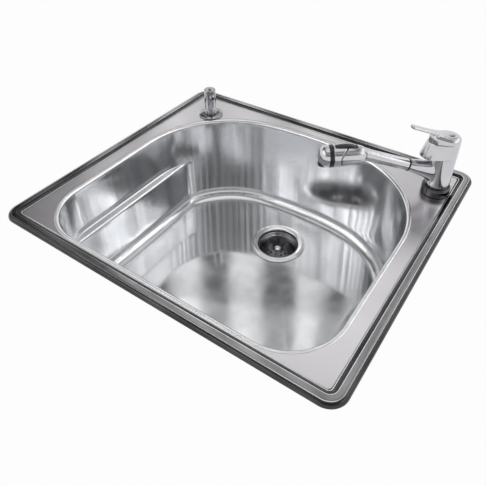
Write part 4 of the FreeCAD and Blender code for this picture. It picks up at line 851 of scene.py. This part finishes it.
# %% Band, tip and button
BAND_END, BAND_BORE, BAND_RADIUS, BAND_GAP = 62.5, 14.0, 19.4, 0.2
HEAD_END, TIP_FLAT, FLAT_SOFTNESS = 80.0, 15.6, 0.8
TIP_RADIUS, TIP_START, TIP_POWER, TIP_EDGE, TIP_POINT = 19.0, 65.0, 2.2, 0.5, 1e-4
BUTTON_START, BUTTON_END, BUTTON_HALF, BUTTON_BASE = 16.2, 51.8, 4.9, 12.8
BUTTON_REAR, BUTTON_FRONT, BUTTON_CROWN, BUTTON_EDGE, BUTTON_POWER = 17.0, 18.6, 3.0, 1.6, 0.4
band_low, band_high = HEAD_FRONT_END + BAND_GAP, BAND_END - BAND_GAP
band_shell = turned([(BAND_BORE, band_low), (BAND_RADIUS, band_low, 0.7), (BAND_RADIUS, band_high, 0.7),
                     (BAND_BORE, band_high)], on_head)
dress("spray_band", band_shell, "black_plastic", "wand", "black_plastic", "selector_band")


def tip_rings(rows=22):
    """A superelliptic dome, r = R (1 - u^n)^(1/n), past a short straight part; its underside is cut flat."""
    u = np.sin(quarter(rows))
    dome = points_of(TIP_RADIUS * np.maximum(1 - u ** TIP_POWER, TIP_POINT) ** (1 / TIP_POWER),
                     TIP_START + u * (HEAD_END - TIP_START))
    foot = [(BAND_BORE, BAND_END), (TIP_RADIUS - TIP_EDGE, BAND_END), (TIP_RADIUS, BAND_END + TIP_EDGE)]
    rings = lathe(np.concatenate([foot, dome]))
    under = soft_minimum(rings[..., 0], TIP_FLAT, FLAT_SOFTNESS)
    rings[..., 0] = np.where(rings[..., 0] > 0, under, rings[..., 0])
    return rings


tip_shell = ring_shell(on_head(tip_rings()), closed=True)
dress("spray_nose", tip_shell, "chrome", "wand", "chrome", "spray_tip")


def signed_power(value, power):
    """A power of the size with the sign kept: cos and sin then run round a superellipse."""
    return np.sign(value) * np.abs(value) ** power


def button_rings(rows=30):
    """Rounded boxes along the head: top = rear to front + crown (1 - v^2), drawn in at both ends."""
    v = np.sin(np.linspace(-np.pi / 2, np.pi / 2, rows))[:, None]
    station = (BUTTON_START + BUTTON_END) / 2 + v * (BUTTON_END - BUTTON_START) / 2
    top = BUTTON_REAR + (v + 1) / 2 * (BUTTON_FRONT - BUTTON_REAR) + BUTTON_CROWN * (1 - v ** 2)
    from_end = np.minimum(station - BUTTON_START, BUTTON_END - station)
    into_edge = np.maximum(BUTTON_EDGE - from_end, 0)
    drawn_in = BUTTON_EDGE - np.sqrt(np.maximum(BUTTON_EDGE ** 2 - into_edge ** 2, 0))
    top = top - drawn_in
    turn = full_turn(FEW_COLUMNS)
    across = (BUTTON_HALF - drawn_in) * signed_power(np.sin(turn), BUTTON_POWER)
    upward = (top - BUTTON_BASE) / 2 * signed_power(np.cos(turn), BUTTON_POWER)
    return points_of(-((top + BUTTON_BASE) / 2 - upward), across, station)


button_shell = ring_shell(on_head(button_rings()), closed=True)
dress("spray_button", button_shell, "black_plastic", "rocker", "black_plastic", "spray_rocker")

# %% [markdown]
# ## The dome
# The dome that turns on the column is oval in plan: a large circle at the back and a smaller one in front,
# with their common tangents. It narrows upwards and its edges are rounded, so it is a stack of such ovals
# rather than a stretched cylinder.

# %% Dome
DOME_LOW, DOME_HIGH = 78.3, 107.0
DOME_REAR, DOME_FRONT, DOME_REACH = (21.4, 21.0), (20.0, 17.0), (22.0, 16.0)


def oval(rear, front, reach):
    """The outline round two circles, by the angle a of its normal.

    It follows the front circle where cos a > (R - r) / d, and the rear one elsewhere.
    """
    limit = np.arccos((rear - front) / reach)
    ahead = np.linspace(-1, 1, COLUMNS // 2) * limit
    behind = limit + np.linspace(0, 1, COLUMNS // 2) * (2 * np.pi - 2 * limit)
    x = np.concatenate([reach + front * np.cos(ahead), rear * np.cos(behind)], axis=-1)
    y = np.concatenate([front * np.sin(ahead), rear * np.sin(behind)], axis=-1)
    return points_of(x, y)


def dome_rings():
    """Ovals from the seam to the roof, drawn in by a rounded edge at both ends."""
    section = rounded([(4.0, DOME_LOW), (0.0, DOME_LOW, 0.6), (0.0, DOME_HIGH, 2.5), (12.0, DOME_HIGH)],
                      loop=False, steps=8)
    inset, level = section[:, :1], section[:, 1]
    share = ((level - DOME_LOW) / (DOME_HIGH - DOME_LOW))[:, None]
    rear, front, reach = (low + share * (high - low) for low, high in (DOME_REAR, DOME_FRONT, DOME_REACH))
    return at_levels(oval(rear - inset, front - inset, reach), level)


dome_shell = ring_shell(on_mixer(dome_rings()), closed=True)
dress("lever_dome", dome_shell, "chrome", "handle", "chrome", "handle_dome")

# %% [markdown]
# ## The lever
# The lever is one casting: a cap that closes the dome and runs out into a thin flat blade. The cap is a
# pebble over the dome's oval, and the blade is lofted through superellipses, both under one straight top
# line. Behind the hinge the cap is drawn in to the knuckle's radius, so that the lever can tilt.

# %% Lever
CAP_LOW, CAP_REAR, CAP_NOSE, CAP_NOSE_X, CAP_SPREAD, CAP_POINT = 107.3, 20.9, 16.6, 16.0, 1.4, 0.002
CAP_REAR_HEIGHT, HINGE_X, HINGE_LEVEL, KNUCKLE, HINGE_CORE = 9.8, -15.0, 111.1, 3.8, 0.001
LEVER_RISE, LEVER_X, LEVER_TOP, LEVER_POWER = math.tan(math.radians(18)), 5.0, 117.5, 2 / 3.2
BLADE_START, BLADE_END, BLADE_HALF, BLADE_FLARE = -6.0, 68.0, 6.5, 6.0
BLADE_THICK, BLADE_DEEPER, BLADE_NEAR, BLADE_FADE, BLADE_POINT = 5.0, 3.0, 10.0, 30.0, 0.0004


def lever_line(x):
    """The straight top line of the lever."""
    return LEVER_TOP + (x - LEVER_X) * LEVER_RISE


def cap_rings(rows=20):
    """A pebble on the dome's oval: outline times cos^p, height sin^p times the room below the top line."""
    lift = np.pi / 2 * np.linspace(0, 1, rows)[:, None, None] ** CAP_SPREAD
    edge = oval(*(np.full((1, 1), size) for size in (CAP_REAR, CAP_NOSE, CAP_NOSE_X)))
    middle = np.array([CAP_NOSE_X / 2, 0])
    flat = middle + (edge - middle) * np.maximum(np.cos(lift), CAP_POINT) ** LEVER_POWER
    room = np.logaddexp(lever_line(flat[..., :1]) - CAP_LOW, CAP_REAR_HEIGHT)
    return np.concatenate([flat, CAP_LOW + room * np.sin(lift) ** LEVER_POWER], axis=-1)


def round_knuckle(points):
    """Draw what lies behind and below the hinge onto the knuckle's radius, so that the lever can tilt."""
    across, above = points[..., 0] - HINGE_X, points[..., 2] - HINGE_LEVEL
    behind = (across < 0) & (above < 0)
    distance = np.maximum(np.hypot(across, above), HINGE_CORE)
    share = np.where(behind, np.minimum(1, KNUCKLE / distance), 1)
    return points_of(HINGE_X + across * share, points[..., 1], HINGE_LEVEL + above * share)


def blade_rings(rows=60):
    """Superellipse sections under the top line, wider and deeper towards the cap, with a round tip."""
    x = BLADE_START + (BLADE_END - BLADE_START) * np.sin(quarter(rows))[:, None]
    near = 1 - smooth_step((x - BLADE_NEAR) / BLADE_FADE)
    past = np.maximum((x - BLADE_END + BLADE_HALF) / BLADE_HALF, 0)
    tip = np.sqrt(np.clip(1 - past ** 2, BLADE_POINT, 1))
    half_width = (BLADE_HALF + BLADE_FLARE * near) * tip
    half_height = (BLADE_THICK + BLADE_DEEPER * near) / 2
    turn = full_turn(FEW_COLUMNS)
    across = half_width * signed_power(np.cos(turn), LEVER_POWER)
    above = half_height * np.sqrt(tip) * signed_power(np.sin(turn), LEVER_POWER)
    return points_of(x, across, lever_line(x) - half_height + above)


cap_shell = ring_shell(on_mixer(round_knuckle(cap_rings())), closed=True)
blade_shell = ring_shell(on_mixer(blade_rings()), closed=True)
dress("lever_blade", joined(cap_shell, blade_shell), "chrome", "lever", "chrome", "lever")

# %% [markdown]
# ## The soap pump
# A rosette sits on the deck round a short neck, and over the neck slides the head that is pressed: a plain
# post with a short nozzle. The nozzle's root follows the post's round side, so the two meet without a gap.

# %% Soap pump
NOZZLE_HEADING, NOZZLE_LEVEL, NOZZLE_REACH = math.radians(-40), 51.0, 27.0
POST_RADIUS, NOZZLE_RADIUS, NOZZLE_BORE, NOZZLE_OVERLAP = 12.3, 4.5, 2.6, 0.3
pump_origin = np.array([*plan_centre("pump_body"), DECK_TOP])
rosette_shell = turned([
    (8.1, -46), (14, -46, 0.6), (14, 1), (26, 1, 0.4), (26, 2.6, 1.2), (20, 4.9, 8), (12.5, 5.8, 1.5),
    (9.5, 6.3, 0.4), (9.5, 30, 0.6), (8.1, 30),
], set_at, pump_origin)
# The rosette is chrome painted darker, a painted dark reflection.
dress("pump_rosette", rosette_shell, "pump_painted_dark_chrome", "sink", "chrome", "pump_body")
post_shell = turned([
    (0.4, 48.2), (3.8, 48.2), (3.8, 40), (10, 40, 0.5), (10, 15, 0.3), (POST_RADIUS, 15, 0.5),
    (POST_RADIUS, 61, 2), (0.4, 61.4),
], set_at, pump_origin, NOZZLE_HEADING, loop=False)


def on_post(nozzle):
    """Let the nozzle start on the post's side, sqrt(R^2 - y^2) from its axis, and carry it there."""
    root = np.sqrt(POST_RADIUS ** 2 - nozzle[..., 1] ** 2) - NOZZLE_OVERLAP
    nozzle[..., 2] = np.maximum(nozzle[..., 2], root)
    return set_at(on_axis(nozzle, np.array([0, 0, NOZZLE_LEVEL]), 0.0), pump_origin, NOZZLE_HEADING)


nozzle_shell = turned([
    (NOZZLE_BORE, 0), (NOZZLE_RADIUS, 0), (NOZZLE_RADIUS, NOZZLE_REACH, 0.9),
    (NOZZLE_BORE, NOZZLE_REACH, 0.5),
], on_post, columns=FEW_COLUMNS)
# The post and nozzle are chrome painted darker, a painted dark reflection.
dress("pump_post", joined(post_shell, nozzle_shell), "pump_painted_dark_chrome", "pump_top", "chrome", "pump_head")

# %% [markdown]
# ## The pump's spring
# Under the piston stands a coil spring that pushes the head up again. Here the spring is a tube along a
# helix.

# %% Pump spring
COIL_RADIUS, WIRE_RADIUS, COIL_TURNS, COIL_LOW, COIL_HIGH = 5.0, 0.6, 10, -57.0, 5.0


def coil_rings(rows=241, columns=12):
    """Circles of the wire's radius along the helix (R cos t, R sin t, z rising with t)."""
    turn = np.linspace(0, 2 * np.pi * COIL_TURNS, rows)[:, None]
    level = np.linspace(COIL_LOW + WIRE_RADIUS, COIL_HIGH - WIRE_RADIUS, rows)[:, None]
    wire = full_turn(columns)
    return round_axis(COIL_RADIUS - WIRE_RADIUS * np.cos(wire), turn, level + WIRE_RADIUS * np.sin(wire))


coil_shell = ring_shell(set_at(coil_rings(), pump_origin), closed=True)
coil = dress("pump_coil", coil_shell, "plain_steel", "sink", "plain_steel", "pump_spring")
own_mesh(coil)

# %% [markdown]
# ## Finishes for the pieces that keep their solids
# Everything under the deck and inside the tap keeps its solid: washers, nuts, rails, clips, tubes. Each
# gets the finish of the material it is made of, in a table of finish and nodes.

# %% Finish the remaining nodes
NODE_FINISH = {
    "plain_steel": ["fixing_rails", "clip_hooks", "clip_screws", "tap_steel_washer", "pump_washer",
                    "strainer_lock_nut", "coupling_nut", "pump_nut"],
    "polished_steel": ["basket_post", "tailpiece", "pump_stem", "lever_pin", "rocker_pin"],
    # The basket sits in the drain's recess and takes the cup's painted shade.
    "cup_painted_shade_steel": ["basket"],
    "brass": ["tap_core", "tap_nut", "inlet_block", "cartridge_nut", "cartridge_stem", "wand_spigot"],
    "black_plastic": ["spray_diverter", "spray_face"],
    "black_rubber": ["sound_pad", "rubber_washer", "tailpiece_washer", "basket_stopper", "tap_gasket",
                     "tap_rubber_washer", "pump_gasket"],
    "white_plastic": ["cartridge", "pump_barrel", "dip_tube"],
    "milky_plastic": ["soap_bottle"],
    "putty": ["flange_seal"],
    "card": ["friction_washer"],
}
for finish, names in NODE_FINISH.items():
    for name in names:
        slots = frame["nodes"][name].data.materials
        slots.clear()
        slots.append(FINISH[finish])
dressed = [name for names in NODE_FINISH.values() for name in names]
left = [name for name, node in frame["nodes"].items() if not node.hide_render and name not in dressed]
print("kept nodes", len(dressed), "without a finish", left)

# %% [markdown]
# ## Worktop
# A drop-in sink hangs in a cut-out, so the floor of this scene is a wide white worktop with the hole that
# the sink's clips are made for. It is matt pale grey, and what the camera and the metal see of it is mixed
# with plain white light, so the background turns white while the soft shadows of the sink stay on it.

# %% Worktop
CUTOUT_WIDTH, CUTOUT_DEPTH, CUTOUT_CORNER = 621.0, 545.0, 20.0
BOARD_WIDTH, BOARD_DEPTH, BOARD_CORNER, BOARD_TOP, BOARD_LOW = 16000.0, 16000.0, 100.0, -0.2, -34.0
STAGE_GREY, STAGE_LIFT = (0.8, 0.8, 0.8, 1), 0.955


def combine(tree, operation, *values):
    """A Math node over values, each a number or another node's output."""
    node = add_node(tree, "Math")
    node.operation = operation
    for socket, value in zip(node.inputs, values):
        feed(tree, socket, value)
    return node.outputs["Value"]


def stage_white():
    """Matt pale grey, mixed with white light where the camera, metal and clear plastic see it."""
    material = bpy.data.materials.new("stage_white")
    material.use_nodes = True
    tree = material.node_tree
    tree.nodes.remove(tree.nodes["Principled BSDF"])
    path = add_node(tree, "LightPath").outputs
    seen = path["Is Camera Ray"]
    for ray in ("Is Glossy Ray", "Is Transmission Ray"):
        seen = combine(tree, "MAXIMUM", seen, path[ray])
    mix = add_node(tree, "MixShader", Fac=combine(tree, "MULTIPLY", seen, STAGE_LIFT))
    feed(tree, mix.inputs[1], add_node(tree, "BsdfDiffuse", Color=STAGE_GREY).outputs["BSDF"])
    feed(tree, mix.inputs[2], add_node(tree, "Emission").outputs["Emission"])
    feed(tree, tree.nodes["Material Output"].inputs["Surface"], mix.outputs["Shader"])
    return material


FINISH["stage_white"] = stage_white()
hole_line = stations_at(rectangle_stations(CUTOUT_WIDTH, CUTOUT_DEPTH, CUTOUT_CORNER), bearings)
board_line = stations_at(rectangle_stations(BOARD_WIDTH, BOARD_DEPTH, BOARD_CORNER), bearings)
flat = np.stack([outline(line) for line in (board_line, board_line, hole_line, hole_line)])
board_rings = at_levels(flat, [BOARD_LOW, BOARD_TOP, BOARD_TOP, BOARD_LOW])
board = add_piece("worktop", ring_shell(board_rings, loop=True), ["stage_white"])
print("worktop", BOARD_WIDTH, "by", BOARD_DEPTH)

# %% [markdown]
# ## Light by direction
# Polished steel shows its surroundings, so its light has to look like a room. Walls and lamps could be
# modelled, but a world shader knows the direction in which it is seen, and that is enough: smooth steps
# over height and bearing make walls, lamps and a roof that are endlessly far away. These helpers make them.

# %% Helpers for light by direction
STRIPS, STRIP_PHASE = 40, 0.6


def ranged(tree, value, start, end, low, high):
    """A smooth step of a value from low to high between start and end; high may be another value."""
    step = add_node(tree, "MapRange", Value=value, From_Min=start, From_Max=end, To_Min=low, To_Max=high)
    step.interpolation_type = "SMOOTHSTEP"
    return step.outputs["Result"]


def toward(tree, place, direction):
    """How far the world direction points along a given one, from -1 to 1."""
    facing = add_node(tree, "VectorMath")
    facing.operation = "DOT_PRODUCT"
    feed(tree, facing.inputs[0], place)
    feed(tree, facing.inputs[1], direction)
    return facing.outputs["Value"]


def strip_wave(tree, place):
    """The sine of a multiple of the direction's bearing: one crest for each tall softbox."""
    parts = add_node(tree, "SeparateXYZ", Vector=place).outputs
    bearing = combine(tree, "ARCTAN2", parts["X"], parts["Y"])
    return combine(tree, "SINE", combine(tree, "MULTIPLY_ADD", bearing, STRIPS, STRIP_PHASE))


# %% [markdown]
# ## World and softbox
# The studio has white walls all round that reach a quarter of the way up, and above them a ring of tall
# softboxes with darker gaps between them, which fade towards the top. The boxes to the left and right of
# the camera are stronger; those behind the camera, those behind the sink on its left and the roof are
# dimmer, and straight overhead hangs one more lamp. The camera sees the same walls as the metal does. One
# large softbox over the back of the sink gives the soft shadow.

# %% World and softbox
CAMERA_AZIMUTH = math.radians(35.19)
WALL_LIGHT, WALL_TOP, BOX_LIGHT = 1.0, (0.36, 0.48), 1.1
STRIP_GAP, STRIP_EDGE, STRIP_TOP = 0.15, (-0.5, 0.5), (0.82, 0.94)
FRONT_RANGE, FRONT_SHARE = (0.4, 0.85), 0.35
SIDE_RANGE, SIDE_SHARE = (0.2, 0.6), 2.6
BEHIND_RANGE, LEFT_RANGE, LEFT_SHARE = (-0.2, -0.5), (-0.42, -0.15), 0.15
ROOF_RANGE, ROOF_SHARE = (0.72, 0.92), 0.45
OVERHEAD_RANGE, OVERHEAD_LIGHT = (0.9, 0.96), 0.95
SOFTBOX_SIZE, SOFTBOX_WATTS = (1.2, 0.8), 1
SOFTBOX_PLACE, SOFTBOX_TARGET = (-0.35, 0.75, 1.5), (0, 0, -0.1)


def studio_world():
    """World light by direction: white walls, and strips of softboxes above them with a share by side."""
    world = bpy.data.worlds.new("studio")
    bpy.context.scene.world = world
    world.use_nodes = True
    tree = world.node_tree
    place = add_node(tree, "TexCoord").outputs["Generated"]
    height = toward(tree, place, (0, 0, 1))
    front = toward(tree, place, (math.sin(CAMERA_AZIMUTH), -math.cos(CAMERA_AZIMUTH), 0))
    side = toward(tree, place, (math.cos(CAMERA_AZIMUTH), math.sin(CAMERA_AZIMUTH), 0))
    wave = combine(tree, "MULTIPLY", strip_wave(tree, place), ranged(tree, height, *STRIP_TOP, 1.0, 0.0))
    boxes = ranged(tree, wave, *STRIP_EDGE, BOX_LIGHT * STRIP_GAP, BOX_LIGHT)
    left = ranged(tree, side, *LEFT_RANGE, LEFT_SHARE, 1.0)
    for share in (ranged(tree, front, *FRONT_RANGE, 1.0, FRONT_SHARE),
                  ranged(tree, combine(tree, "MULTIPLY", side, side), *SIDE_RANGE, 1.0, SIDE_SHARE),
                  ranged(tree, front, *BEHIND_RANGE, 1.0, left),
                  ranged(tree, height, *ROOF_RANGE, 1.0, ROOF_SHARE)):
        boxes = combine(tree, "MULTIPLY", boxes, share)
    overhead = ranged(tree, height, *OVERHEAD_RANGE, 0.0, OVERHEAD_LIGHT)
    boxes = combine(tree, "MAXIMUM", boxes, overhead)
    backdrop = tree.nodes["Background"]
    backdrop.inputs["Color"].default_value = (1, 1, 1, 1)
    feed(tree, backdrop.inputs["Strength"], ranged(tree, height, *WALL_TOP, WALL_LIGHT, boxes))


studio_world()
softbox = bpy.data.lights.new("softbox", "AREA")
softbox.shape = "RECTANGLE"
softbox.size, softbox.size_y = SOFTBOX_SIZE
softbox.energy = SOFTBOX_WATTS
lamp = bpy.data.objects.new("softbox", softbox)
bpy.context.scene.collection.objects.link(lamp)
lamp.location = SOFTBOX_PLACE
aim = Vector(SOFTBOX_TARGET) - lamp.location
lamp.rotation_euler = aim.to_track_quat("-Z", "Y").to_euler()
print("softboxes round the studio", STRIPS, "and one lamp at", SOFTBOX_PLACE)

# %% [markdown]
# ## Camera
# The photograph was taken from the front right, looking down at about 37 degrees. Place, heading and a
# slight roll come from the measured corners of the rim, and a small lens shift helps the framing.

# %% Camera
CAMERA_PLACE = (0.4099, -0.5953, 0.5737)
CAMERA_ELEVATION, CAMERA_ROLL = math.radians(37.15), math.radians(-0.76)
FOCAL_PIXELS, PHOTO_PIXELS, SENSOR = 519.5, 486.0, 36.0
SHIFT_UP, NEAREST = -0.12, 0.01
camera_data = bpy.data.cameras.new("camera")
camera_data.sensor_width = SENSOR
camera_data.lens = FOCAL_PIXELS / PHOTO_PIXELS * SENSOR
camera_data.shift_y = SHIFT_UP
camera_data.clip_start = NEAREST
camera = bpy.data.objects.new("camera", camera_data)
bpy.context.scene.collection.objects.link(camera)
stand = Matrix.Translation(CAMERA_PLACE)
for angle, axis in ((CAMERA_AZIMUTH, "Z"), (math.pi / 2 - CAMERA_ELEVATION, "X"), (CAMERA_ROLL, "Z")):
    stand = stand @ Matrix.Rotation(angle, 4, axis)
camera.matrix_world = stand
bpy.context.scene.camera = camera
bpy.context.scene.view_settings.view_transform = "Standard"
print("lens", round(camera_data.lens, 2), "at", CAMERA_PLACE)
